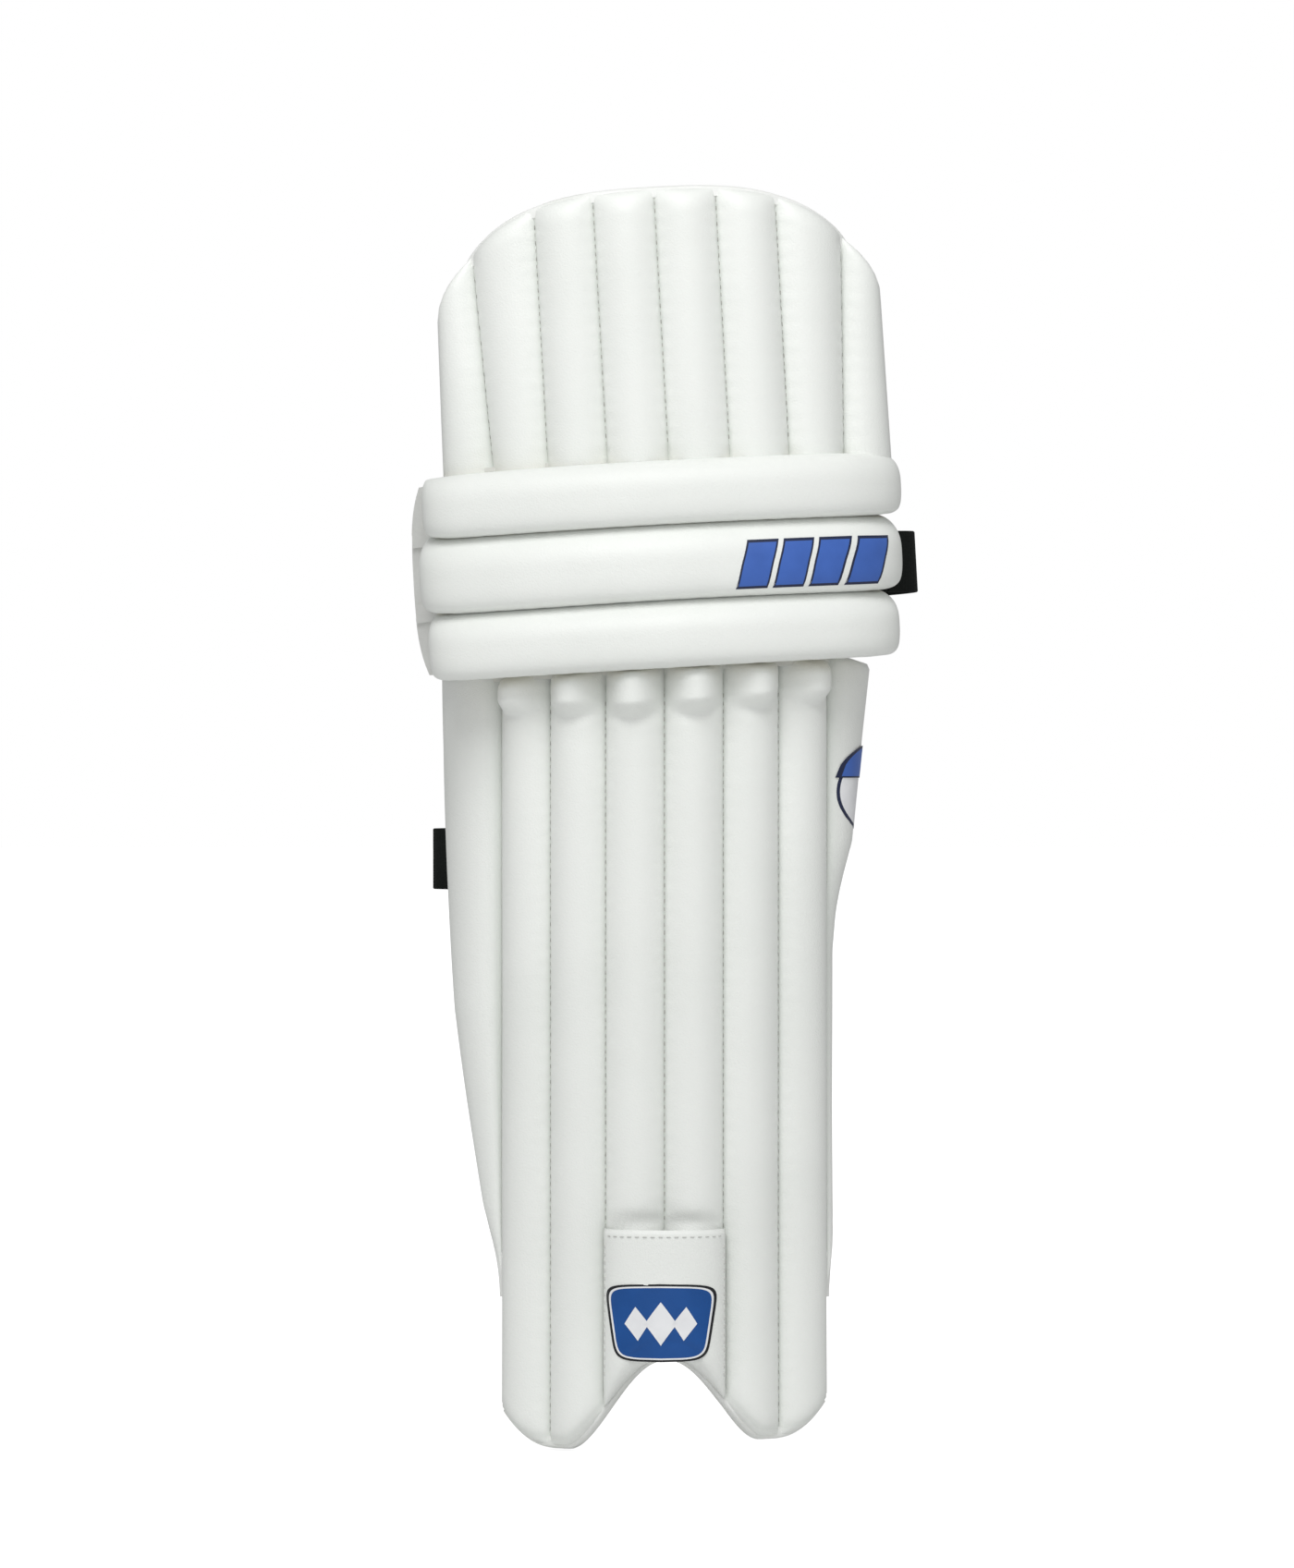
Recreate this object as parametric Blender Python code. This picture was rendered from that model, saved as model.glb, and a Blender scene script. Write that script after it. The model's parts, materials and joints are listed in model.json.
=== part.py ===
"""Cricket batting leg pad, built as its maker sews it: a channelled shin panel with side wings,
three knee rolls, a channelled top hat and three hook-and-loop straps behind the leg.

Units are metres, +Z is up and the padded front faces -Y, so the wearer's leg stands at +Y. X = 0 is
the shin's centre seam, Y = 0 its sewing plane and Z = 0 the lowest edge of the feet. The knee
rolls and the top hat lean a little towards -X, so they share one tilted frame of their own.
"""
import math

import bmesh
import bpy
from mathutils import Vector

# Sewn layers, measured forwards (+) and backwards (-) from the sewing plane.
SEAM_HEIGHT = 0.0018       # outer face of the cover along a seam
COVER_THICK = 0.0015
CORE_BACK = 0.0003         # back face of everything inside a channel
CORE_CLEAR = 0.0006        # core to cover
CORE_LEAST = 0.0008        # least thickness of a core at its edges
EDGE_CLEAR = 0.0004        # between neighbouring edges that are sewn together
WADDING_BACK = -0.0080
LINING_FRONT = -0.0083
LINING_BACK = -0.0103

# Shin panel: six channels side by side, bent round the leg.
SHIN_PITCH = 0.032
SHIN_CHANNELS = 6
SHIN_CREST = 0.0120
SHIN_RADIUS = 0.130
SHIN_EDGE = SHIN_PITCH * SHIN_CHANNELS / 2
SHIN_TOP = 0.4240
SHIN_FOOT_DOME = 0.014     # the channels round off over this height at their feet
SHIN_HEAD_DOME = 0.008     # and over this height at their heads
FOOT_LOW = 0.0020
NOTCH_RISE = 0.0480
NOTCH_HALF = 0.0520
FOOT_CORNER_START = 0.060
FOOT_CORNER_WIDTH = 0.031
FOOT_CORNER_RISE = 0.024
FOOT_CORNER_POWER = 2.2
NOTCH_POWER = 0.75         # below 1 the notch is broader than a plain cosine
FOOT_SHORT = 0.0050        # the right foot ends this much higher than the left one
FOOT_SHORT_REACH = 0.035
KICK_HEIGHT = 0.120        # below this height the panel curves forwards over the instep
KICK_REACH = 0.012
KNUCKLE_HEIGHT = 0.030     # puffed channel heads under the knee rolls
KNUCKLE_RISE = 0.0050

# Side wings.
WING_FOOT = 0.078
WING_TAPER = 0.23
WING_FLOOR = 0.070
WING_CREST = (0.0100, 0.0065)        # left, right
WING_BULGE = (0.30, 0.16)            # crest as a share of the wing's width, where it is narrow
WING_RADIUS_LEFT = 0.072
WING_MAX_ANGLE = 1.60

# Knee rolls and top hat, in the tilted frame.
TILT = math.radians(3.2)
KNEE_ORIGIN = Vector((-0.002, 0.0, 0.4272))
ROLL_LINES = (0.0, 0.0357, 0.0772, 0.1076)
ROLL_NAMES = ("lower", "middle", "upper")
ROLL_CREST = 0.0275
ROLL_RADIUS = 0.220
ROLL_FLAT = 0.090          # half the arc of the flatter front of a roll
ROLL_EDGE = 0.140
ROLL_TAPER_START = 0.096
KNEE_SIDE_RADIUS = (0.100, 0.060)    # left, right
FLAP_EDGE = (0.153, 0.143)           # backing beyond the ends of the rolls: left, right

HAT_OFFSET = 0.0105        # top hat's centre seam from the knee's centre line
HAT_RADIUS = 0.200
HAT_FLAT = 0.096
HAT_SIDE_RADIUS = (0.050, 0.036)     # left, right
HAT_SEAMS = (0.0333, 0.0666, 0.0990)
HAT_FAN = 0.0500           # how far the outer seam spreads for each metre of height
HAT_EDGE = 0.134
HAT_NARROWING = 0.060      # how far each side edge draws in for each metre of height
HAT_CREST = 0.0115
HAT_SHOULDER = 0.060
HAT_ROUND = 0.002          # keeps the outline from turning quite vertical at the side edges
HAT_CROWN = 0.0895
CROWN_POWER = 3.0          # above 2 the crown is squarer than an ellipse
CROWN_WIDTH_AT = 0.110     # height at which the crown's width is taken
HAT_FOOT_DOME = 0.008
HAT_HEAD_DOME = 0.013
BINDING_GAP = 0.0006
HAT_INSET = 3.0            # wadding and lining stop this many binding gaps below the crown edge

# Seam hinges of the knee.
HINGE_Y = 0.030
HINGE_RANGE = math.radians(7.0)
BORDER_GAP = 0.0008        # half the gap between neighbouring rolls
FOLD_DEPTH = 0.012         # the pad's thickness behind the sewing plane, clearance included

# Straps.
STRAP_HALF = 0.0170
WEBBING = 0.0018
PATCH = 0.0011
STRAP_GAP = 0.0003

CHANNEL_STEPS = (-1.0, -0.82, -0.32, 0.32, 0.82, 1.0)


# ---------------------------------------------------------------- scene and mesh helpers

def clear_scene():
    for old in list(bpy.data.objects):
        bpy.data.objects.remove(old, do_unlink=True)


def make_material(name, colour, roughness):
    """A plain Principled material for one kind of stuff."""
    material = bpy.data.materials.new(name)
    material.use_nodes = True
    shader = material.node_tree.nodes["Principled BSDF"]
    shader.inputs["Base Color"].default_value = (*colour, 1.0)
    shader.inputs["Roughness"].default_value = roughness
    shader.inputs["Metallic"].default_value = 0.0
    return material


def finish_mesh(name, mesh_builder, material, parent):
    """Closes a bmesh into a named object with its faces pointing out."""
    bmesh.ops.recalc_face_normals(mesh_builder, faces=mesh_builder.faces)
    mesh = bpy.data.meshes.new(name)
    mesh_builder.to_mesh(mesh)
    mesh_builder.free()
    mesh.materials.append(material)
    mesh.shade_smooth()
    mesh.set_sharp_from_angle(angle=math.radians(40.0))
    piece = bpy.data.objects.new(name, mesh)
    bpy.context.scene.collection.objects.link(piece)
    if parent is not None:
        # Vertices are in world space, so the piece keeps its place under a parent on a joint axis.
        piece.parent = parent
        piece.matrix_parent_inverse = parent.matrix_world.inverted()
    return piece


def make_pivot(name, point, axis_up, parent):
    """An empty on a joint's axis, its Z along the axis."""
    pivot = bpy.data.objects.new(name, None)
    pivot.empty_display_size = 0.03
    bpy.context.scene.collection.objects.link(pivot)
    pivot.rotation_mode = "QUATERNION"
    pivot.rotation_quaternion = axis_up.to_track_quat("Z", "Y")
    pivot.location = point
    bpy.context.view_layer.update()
    if parent is not None:
        world = pivot.matrix_world.copy()
        pivot.parent = parent
        pivot.matrix_parent_inverse = parent.matrix_world.inverted()
        pivot.matrix_world = world
        bpy.context.view_layer.update()
    return pivot


def slab(name, front, back, material, parent=None):
    """A closed sheet between two grids of points with the same rows and columns."""
    builder = bmesh.new()
    faces = [[[builder.verts.new(p) for p in row] for row in grid] for grid in (front, back)]
    rows = len(front)
    columns = len(front[0])
    for grid in faces:
        for i in range(rows - 1):
            for j in range(columns - 1):
                builder.faces.new((grid[i][j], grid[i][j + 1], grid[i + 1][j + 1], grid[i + 1][j]))
    rim = [(0, j) for j in range(columns)]
    rim += [(i, columns - 1) for i in range(1, rows)]
    rim += [(rows - 1, j) for j in range(columns - 2, -1, -1)]
    rim += [(i, 0) for i in range(rows - 2, 0, -1)]
    for k, (i, j) in enumerate(rim):
        m, n = rim[(k + 1) % len(rim)]
        builder.faces.new((faces[0][i][j], faces[0][m][n], faces[1][m][n], faces[1][i][j]))
    return finish_mesh(name, builder, material, parent)


def loft(name, rings, material, parent=None):
    """A closed tube through rings of points, capped at both ends."""
    builder = bmesh.new()
    loops = [[builder.verts.new(p) for p in ring] for ring in rings]
    count = len(loops[0])
    for low, high in zip(loops, loops[1:]):
        for k in range(count):
            n = (k + 1) % count
            builder.faces.new((low[k], low[n], high[n], high[k]))
    builder.faces.new(loops[0])
    builder.faces.new(loops[-1])
    return finish_mesh(name, builder, material, parent)


# ---------------------------------------------------------------- the pad's bent surface

def bend(arc, radius, flat, side_radius, max_angle=WING_MAX_ANGLE):
    """Walks an arc length round the section: returns x, y and the turned angle."""
    if arc <= flat:
        angle = arc / radius
        return radius * math.sin(angle), radius * (1 - math.cos(angle)), angle
    start = flat / radius
    turn = min(arc - flat, side_radius * (max_angle - start))
    angle = start + turn / side_radius
    rest = arc - flat - turn
    x = radius * math.sin(start) + side_radius * (math.sin(angle) - math.sin(start))
    y = radius * (1 - math.cos(start)) + side_radius * (math.cos(start) - math.cos(angle))
    return x + rest * math.cos(angle), y + rest * math.sin(angle), angle


def lifted(arc, offset, radius, flat, side_radii):
    """Point of the section at a signed arc length, lifted off the sewing plane."""
    side = -1.0 if arc < 0 else 1.0
    x, y, angle = bend(abs(arc), radius, flat, side_radii[0 if arc < 0 else 1])
    return side * (x + offset * math.sin(angle)), y - offset * math.cos(angle)


def kick(z):
    """Forward curve of the lower shin over the instep."""
    low = max(0.0, 1.0 - z / KICK_HEIGHT)
    return KICK_REACH * low * low


def wing_radius_right(z):
    """The inner wing folds back more tightly towards the ankle."""
    return max(0.006, 0.24 * (z - 0.245))


def on_shin(arc, z, offset):
    x, y = lifted(arc, offset, SHIN_RADIUS, SHIN_EDGE, (WING_RADIUS_LEFT, wing_radius_right(z)))
    return Vector((x, y - kick(z), z))


def on_tilted(x, y, v, origin):
    """Tilted-frame coordinates (across, depth, up) to world."""
    across = x * math.cos(TILT) - v * math.sin(TILT)
    up = x * math.sin(TILT) + v * math.cos(TILT)
    return Vector((origin.x + across, origin.y + y, origin.z + up))


def on_knee(arc, v, offset):
    x, y = lifted(arc, offset, ROLL_RADIUS, ROLL_FLAT, KNEE_SIDE_RADIUS)
    return on_tilted(x, y, v, KNEE_ORIGIN)


HAT_ORIGIN = on_tilted(HAT_OFFSET, 0.0, ROLL_LINES[-1], KNEE_ORIGIN)


def on_hat(arc, v, offset):
    x, y = lifted(arc, offset, HAT_RADIUS, HAT_FLAT, HAT_SIDE_RADIUS)
    return on_tilted(x, y, v, HAT_ORIGIN)


def arch(x, power=2.0):
    """Height of a round channel across its width, x from -1 to 1."""
    return math.sqrt(max(0.0, 1.0 - abs(x) ** power))


def end_dome(distance, reach):
    """Rounds the end of a channel: 0 at its seam, 1 from `reach` inwards."""
    return arch(1.0 - min(1.0, max(0.0, distance / reach)))


# ---------------------------------------------------------------- shin panel

SHIN_ROWS = (0.0, 0.010, 0.035, 0.10, 0.25, 0.55, 0.88, 0.925, 0.955, 0.985, 1.0)


def shin_low(arc):
    """Bottom outline: two round feet either side of the instep notch."""
    x = SHIN_RADIUS * math.sin(abs(arc) / SHIN_RADIUS)
    z = FOOT_LOW
    if x < NOTCH_HALF:
        z += NOTCH_RISE * (0.5 + 0.5 * math.cos(math.pi * x / NOTCH_HALF)) ** NOTCH_POWER
    if x > FOOT_CORNER_START:
        z += FOOT_CORNER_RISE * ((x - FOOT_CORNER_START) / FOOT_CORNER_WIDTH) ** FOOT_CORNER_POWER
    if arc > 0:
        z += FOOT_SHORT * min(1.0, x / FOOT_SHORT_REACH)
    return z


def shin_high(arc):
    """Top outline, parallel to the tilted knee rolls."""
    x, _ = lifted(arc, 0.0, SHIN_RADIUS, SHIN_EDGE, (WING_RADIUS_LEFT, wing_radius_right(SHIN_TOP)))
    return SHIN_TOP + x * math.tan(TILT)


def channel_lift(arc, distance_low, distance_high):
    """Height of the cover's outer face above the seam height, with its puffed head."""
    index = min(SHIN_CHANNELS - 1, max(0, math.floor((arc + SHIN_EDGE) / SHIN_PITCH)))
    centre = -SHIN_EDGE + (index + 0.5) * SHIN_PITCH
    across = arch(2.0 * (arc - centre) / SHIN_PITCH)
    head = 0.5 + 0.5 * math.cos(math.pi * min(1.0, distance_high / KNUCKLE_HEIGHT))
    crest = SHIN_CREST + KNUCKLE_RISE * head
    return (across * crest * end_dome(distance_low, SHIN_FOOT_DOME)
            * end_dome(distance_high, SHIN_HEAD_DOME))


def shin_columns():
    """Arc lengths of the panel's mesh columns, seams included."""
    arcs = [-SHIN_EDGE]
    for index in range(SHIN_CHANNELS):
        centre = -SHIN_EDGE + (index + 0.5) * SHIN_PITCH
        arcs += [centre + f * SHIN_PITCH / 2 for f in CHANNEL_STEPS[1:]]
    return arcs


def shin_point(arc, g, height):
    """Point of the panel at row fraction g; height(arc, low, high) gives the lift."""
    low = shin_low(arc)
    high = shin_high(arc)
    z = low + g * (high - low)
    return on_shin(arc, z, height(arc, z - low, high - z))


def shin_outer(arc, low, high):
    return SEAM_HEIGHT + channel_lift(arc, low, high)


def shin_inner(arc, low, high):
    return shin_outer(arc, low, high) - COVER_THICK


def shin_layer(name, front, back, material, parent, rows=SHIN_ROWS, arcs=None):
    arcs = arcs or shin_columns()
    grids = [[[shin_point(a, g, h) for a in arcs] for g in rows] for h in (front, back)]
    return slab(name, grids[0], grids[1], material, parent)


def level(value):
    return lambda arc, low, high: value


def build_shin(stuff, root):
    shin_layer("shin_cover", shin_outer, shin_inner, stuff["leather"], root)
    plain_rows = (0.0, 0.035, 0.10, 0.25, 1.0)
    shin_layer("shin_wadding", level(0.0), level(WADDING_BACK), stuff["wadding"], root,
               plain_rows)
    shin_layer("shin_lining", level(LINING_FRONT), level(LINING_BACK), stuff["lining"], root,
               plain_rows)
    for index in range(SHIN_CHANNELS):
        build_cane(index, stuff, root)
        build_knuckle_pad(index, stuff, root)
    build_binding("shin_binding", shin_columns(), stuff, root)


def build_cane(index, stuff, root):
    """A round-backed cane rod with its cotton wrap, filling one channel."""
    centre = -SHIN_EDGE + (index + 0.5) * SHIN_PITCH
    arcs = [centre + f * SHIN_PITCH / 2 for f in CHANNEL_STEPS[1:-1]]
    rows = (0.035, 0.10, 0.25, 0.55, 0.88, 0.918)

    def front(arc, low, high):
        plain = SHIN_CREST * arch(2.0 * (arc - centre) / SHIN_PITCH) * end_dome(low, SHIN_FOOT_DOME)
        return SEAM_HEIGHT + plain - COVER_THICK - CORE_CLEAR
    shin_layer(f"shin_cane_{index + 1}", front, level(CORE_BACK), stuff["cane"], root, rows, arcs)


def build_knuckle_pad(index, stuff, root):
    """The foam plug that puffs out the head of one channel."""
    centre = -SHIN_EDGE + (index + 0.5) * SHIN_PITCH
    arcs = [centre + f * SHIN_PITCH / 2 for f in CHANNEL_STEPS[1:-1]]
    rows = (0.925, 0.955, 0.968)

    def front(arc, low, high):
        return shin_inner(arc, low, high) - CORE_CLEAR
    shin_layer(f"knuckle_pad_{index + 1}", front, level(CORE_BACK), stuff["foam"], root, rows, arcs)


# Tape in section: distance outside the edge, height off the sewing plane.
BINDING_SECTION = ((0.0, LINING_BACK), (0.0016, LINING_BACK + 0.001),
                   (0.0016, SEAM_HEIGHT - 0.001), (0.0, SEAM_HEIGHT))


def build_binding(name, arcs, stuff, root):
    """Soft leather tape sewn round the feet and the instep notch."""
    rings = []
    for arc in arcs:
        edge = shin_low(arc) - EDGE_CLEAR
        ring = [on_shin(arc, edge - drop, offset) for drop, offset in BINDING_SECTION]
        rings.append(ring)
    loft(name, rings, stuff["binding"], root)


# ---------------------------------------------------------------- instep patch and badge

PATCH_HALF = 0.0320
PATCH_TOP = 0.1200
PATCH_SHEET = 0.0016
PATCH_LIFT = 0.0155
PATCH_CLEAR = 0.0014
PATCH_DOME = 0.016         # the patch curves down to the binding over this height
PATCH_ROWS = (0.0, 0.06, 0.19, 0.38, 0.62, 1.0, 1.15, 1.4, 1.7, 2.0)
BADGE_LOW = 0.0555
BADGE_HIGH = 0.0885
BADGE_HALF_LOW = 0.0205
BADGE_HALF_HIGH = 0.0275
BADGE_THICK = 0.0008
BADGE_CLEAR = 0.0012


def patch_lift(arc, low):
    rise = PATCH_LIFT * arch(arc / PATCH_HALF, 4.0) * end_dome(low + EDGE_CLEAR, PATCH_DOME)
    return SEAM_HEIGHT + PATCH_CLEAR + rise


def build_instep(stuff, root):
    arcs = [a for a in shin_columns() if abs(a) < PATCH_HALF + 0.0001]
    grids = []
    for sheet in (PATCH_SHEET, 0.0):
        grid = []
        for step in PATCH_ROWS:
            row = []
            for arc in arcs:
                low = shin_low(arc) + EDGE_CLEAR
                rest = PATCH_TOP - low - PATCH_DOME
                rise = PATCH_DOME * min(step, 1.0) + rest * max(step - 1.0, 0.0)
                row.append(on_shin(arc, low + rise, patch_lift(arc, rise) + sheet))
            grid.append(row)
        grids.append(grid)
    slab("instep_patch", grids[0], grids[1], stuff["leather"], root)

    grids = []
    for sheet in (BADGE_THICK, 0.0):
        grid = []
        for k in range(5):
            g = k / 4
            z = BADGE_LOW + g * (BADGE_HIGH - BADGE_LOW)
            half = BADGE_HALF_LOW + g * (BADGE_HALF_HIGH - BADGE_HALF_LOW)
            row = []
            for n in range(-4, 5):
                arc = half * n / 4
                low = shin_low(arc) + EDGE_CLEAR
                lift = max(patch_lift(arc, z - low), patch_lift(arc, PATCH_DOME)) + PATCH_SHEET
                row.append(on_shin(arc, z, lift + BADGE_CLEAR + sheet))
            grid.append(row)
        grids.append(grid)
    slab("instep_badge", grids[0], grids[1], stuff["badge"], root)


# ---------------------------------------------------------------- side wings

WING_ROWS = (0.0, 0.04, 0.12, 0.34, 0.56, 0.78, 0.95, 0.985, 1.0)
WING_COLUMNS = (0.0, 0.08, 0.25, 0.42, 0.58, 0.75, 0.92, 1.0)


def wing_width(z):
    return WING_TAPER * (z - WING_FLOOR)


def wing_point(side, f, g, height):
    """Point of a wing: f runs out from the shin's edge, g up from its foot."""
    start = SHIN_EDGE + EDGE_CLEAR
    top = shin_high(side * (start + f * wing_width(SHIN_TOP))) - EDGE_CLEAR / 2
    z = WING_FOOT + g * (top - WING_FOOT)
    arc = side * (start + f * wing_width(z))
    return on_shin(arc, z, height(f, z, top - z))


def build_wing(side, label, stuff, root):
    which = 0 if side < 0 else 1

    def outer(f, z, high):
        crest = min(WING_CREST[which], WING_BULGE[which] * wing_width(z))
        return SEAM_HEIGHT + crest * arch(2.0 * f - 1.0) * end_dome(high, SHIN_HEAD_DOME)

    def inner(f, z, high):
        return outer(f, z, high) - COVER_THICK

    def core(f, z, high):
        return max(CORE_BACK + EDGE_CLEAR, outer(f, z, high) - COVER_THICK - CORE_CLEAR)

    def layer(name, front, back, material, rows, columns):
        grids = [[[wing_point(side, f, g, h) for f in columns] for g in rows] for h in (front, back)]
        slab(name, grids[0], grids[1], material, root)

    layer(f"wing_cover_{label}", outer, inner, stuff["leather"], WING_ROWS, WING_COLUMNS)
    layer(f"wing_foam_{label}", core, lambda f, z, high: CORE_BACK, stuff["foam"],
          WING_ROWS[2:-2], WING_COLUMNS[1:-1])
    layer(f"wing_lining_{label}", lambda f, z, high: 0.0, lambda f, z, high: -0.002,
          stuff["lining"], WING_ROWS, WING_COLUMNS)


# ---------------------------------------------------------------- bolsters behind the shin

BOLSTER_ARC = 0.056
BOLSTER_HALF = 0.0165
BOLSTER_FLAT = 0.0090
BOLSTER_DEPTH = 0.0240
BOLSTER_LOW = 0.130
BOLSTER_HIGH = 0.392


def build_bolsters(stuff, root):
    """Upholstered rolls that centre the leg; each has a flat face towards it."""
    for side, label in ((-1, "left"), (1, "right")):
        x, y, angle = bend(BOLSTER_ARC, SHIN_RADIUS, SHIN_EDGE, WING_RADIUS_LEFT)
        across = Vector((side * math.cos(angle), math.sin(angle), 0.0))
        back = Vector((-side * math.sin(angle), math.cos(angle), 0.0))
        base = Vector((side * x, y, 0.0)) + back * (-LINING_BACK + 0.0014)
        rings = []
        for z, shrink in ((BOLSTER_LOW, 0.55), (BOLSTER_LOW + 0.010, 1.0),
                          (BOLSTER_HIGH - 0.010, 1.0), (BOLSTER_HIGH, 0.55)):
            half = BOLSTER_HALF * shrink
            flat = BOLSTER_FLAT * shrink
            depth = BOLSTER_DEPTH * shrink
            outline = ((-half, 0.002), (-half * 0.9, 0.0), (half * 0.9, 0.0), (half, 0.002),
                       (half, depth * 0.5), (half * 0.86, depth * 0.83), (flat, depth),
                       (-flat, depth), (-half * 0.86, depth * 0.83), (-half, depth * 0.5))
            rings.append([base + across * a + back * b + Vector((0, 0, z)) for a, b in outline])
        loft(f"side_bolster_{label}", rings, stuff["lining"], root)


# ---------------------------------------------------------------- knee rolls

def border_relief(arc):
    """Half gap between two rolls: it widens behind the hinge axis, where a fold closes it."""
    _, y = lifted(arc, 0.0, ROLL_RADIUS, ROLL_FLAT, KNEE_SIDE_RADIUS)
    behind = max(0.0, y + FOLD_DEPTH - HINGE_Y)
    return BORDER_GAP + behind * math.tan(HINGE_RANGE / 2)


def roll_crest(arc):
    """Rolls keep their height across the front and round off at their ends."""
    over = (abs(arc) - ROLL_TAPER_START) / (ROLL_EDGE - ROLL_TAPER_START)
    return ROLL_CREST * arch(max(0.0, over), 2.2)


ROLL_ARCS = [k * 0.016 for k in range(-6, 7)]
ROLL_END_ARCS = (0.108, 0.119, 0.129, 0.136, 0.140)
ROLL_COLUMNS = [-a for a in reversed(ROLL_END_ARCS)] + ROLL_ARCS + list(ROLL_END_ARCS)
ROLL_STEPS = (-1.0, -0.93, -0.72, -0.36, 0.0, 0.36, 0.72, 0.93, 1.0)


def roll_grid(low, high, height, columns, steps, trim=0.0):
    grid = []
    for step in steps:
        row = []
        for arc in columns:
            gap = border_relief(arc) + trim
            v = (low + high) / 2 + step * ((high - low) / 2 - gap)
            row.append(on_knee(arc, v, height(arc, step)))
        grid.append(row)
    return grid


def roll_outer(arc, step):
    return SEAM_HEIGHT + roll_crest(arc) * arch(step, 2.3)


def build_knee_roll(index, stuff, parent):
    label = ROLL_NAMES[index]
    low, high = ROLL_LINES[index], ROLL_LINES[index + 1]

    def inner(arc, step):
        return roll_outer(arc, step) - COVER_THICK

    def core(arc, step):
        return max(CORE_BACK + CORE_LEAST, roll_outer(arc, step) - COVER_THICK - 2 * CORE_CLEAR)

    front = roll_grid(low, high, roll_outer, ROLL_COLUMNS, ROLL_STEPS)
    back = roll_grid(low, high, inner, ROLL_COLUMNS, ROLL_STEPS)
    slab(f"knee_roll_cover_{label}", front, back, stuff["leather"], parent)

    core_arcs = [a for a in ROLL_COLUMNS if abs(a) < 0.130]
    steps = ROLL_STEPS[1:-1]
    front = roll_grid(low, high, core, core_arcs, steps)
    back = roll_grid(low, high, lambda arc, step: CORE_BACK, core_arcs, steps)
    slab(f"knee_roll_core_{label}", front, back, stuff["foam"], parent)

    flap = [-FLAP_EDGE[0], -0.148] + ROLL_COLUMNS + [FLAP_EDGE[1]]
    front = roll_grid(low, high, lambda arc, step: 0.0, flap, (-1.0, 0.0, 1.0))
    back = roll_grid(low, high, lambda arc, step: WADDING_BACK, flap, (-1.0, 0.0, 1.0))
    slab(f"knee_backing_{label}", front, back, stuff["lining"], parent)


# ---------------------------------------------------------------- top hat

HAT_ROWS = (0.0, 0.025, 0.06, 0.5, 0.85, 0.93, 0.98, 1.0)
HAT_CHANNELS = 8


def hat_arc(q, v):
    """Channel coordinate q (-4 to 4, whole numbers are seams) to arc length at height v."""
    knots = (0.0, HAT_SEAMS[0], HAT_SEAMS[1], HAT_SEAMS[2] + HAT_FAN * v,
             HAT_EDGE - HAT_NARROWING * v)
    cell = min(3, int(abs(q)))
    share = abs(q) - cell
    arc = knots[cell] * (1 - share) + knots[cell + 1] * share
    return math.copysign(arc, q)


def hat_high(q):
    """Crown outline of the top hat."""
    half = hat_arc(HAT_CHANNELS / 2, CROWN_WIDTH_AT) + HAT_ROUND
    share = abs(hat_arc(q, CROWN_WIDTH_AT)) / half
    return HAT_SHOULDER + HAT_CROWN * math.sqrt(max(0.0, 1.0 - share ** CROWN_POWER))


def hat_low(q):
    """The bottom border, with relief behind the hinge axis."""
    _, y = lifted(hat_arc(q, 0.0), 0.0, HAT_RADIUS, HAT_FLAT, HAT_SIDE_RADIUS)
    behind = max(0.0, y + FOLD_DEPTH - HINGE_Y)
    return BORDER_GAP + behind * math.tan(HINGE_RANGE / 2)


def hat_edge_gap(q):
    """Vertical gap that keeps the binding the same distance off a sloping edge."""
    low, high = max(-4.0, q - 0.02), min(4.0, q + 0.02)
    across = hat_arc(high, CROWN_WIDTH_AT) - hat_arc(low, CROWN_WIDTH_AT)
    slope = (hat_high(high) - hat_high(low)) / across
    return BINDING_GAP * math.hypot(1.0, slope)


def hat_point(q, g, height, inset=0.0):
    low, high = hat_low(q), hat_high(q) - inset * hat_edge_gap(q)
    v = low + g * (high - low)
    return on_hat(hat_arc(q, v), v, height(q, v - low, high - v))


def hat_outer(q, low, high):
    across = arch(2.0 * (q - math.floor(q)) - 1.0)
    ends = end_dome(low, HAT_FOOT_DOME) * end_dome(high, HAT_HEAD_DOME)
    return SEAM_HEIGHT + HAT_CREST * across * ends


def hat_layer(name, front, back, material, parent, rows, columns, inset=0.0):
    grids = [[[hat_point(q, g, h, inset) for q in columns] for g in rows] for h in (front, back)]
    return slab(name, grids[0], grids[1], material, parent)


def hat_columns():
    half = HAT_CHANNELS // 2
    columns = [-half]
    for index in range(-half, half):
        columns += [index + 0.5 + f / 2 for f in CHANNEL_STEPS[1:]]
    return columns


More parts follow.
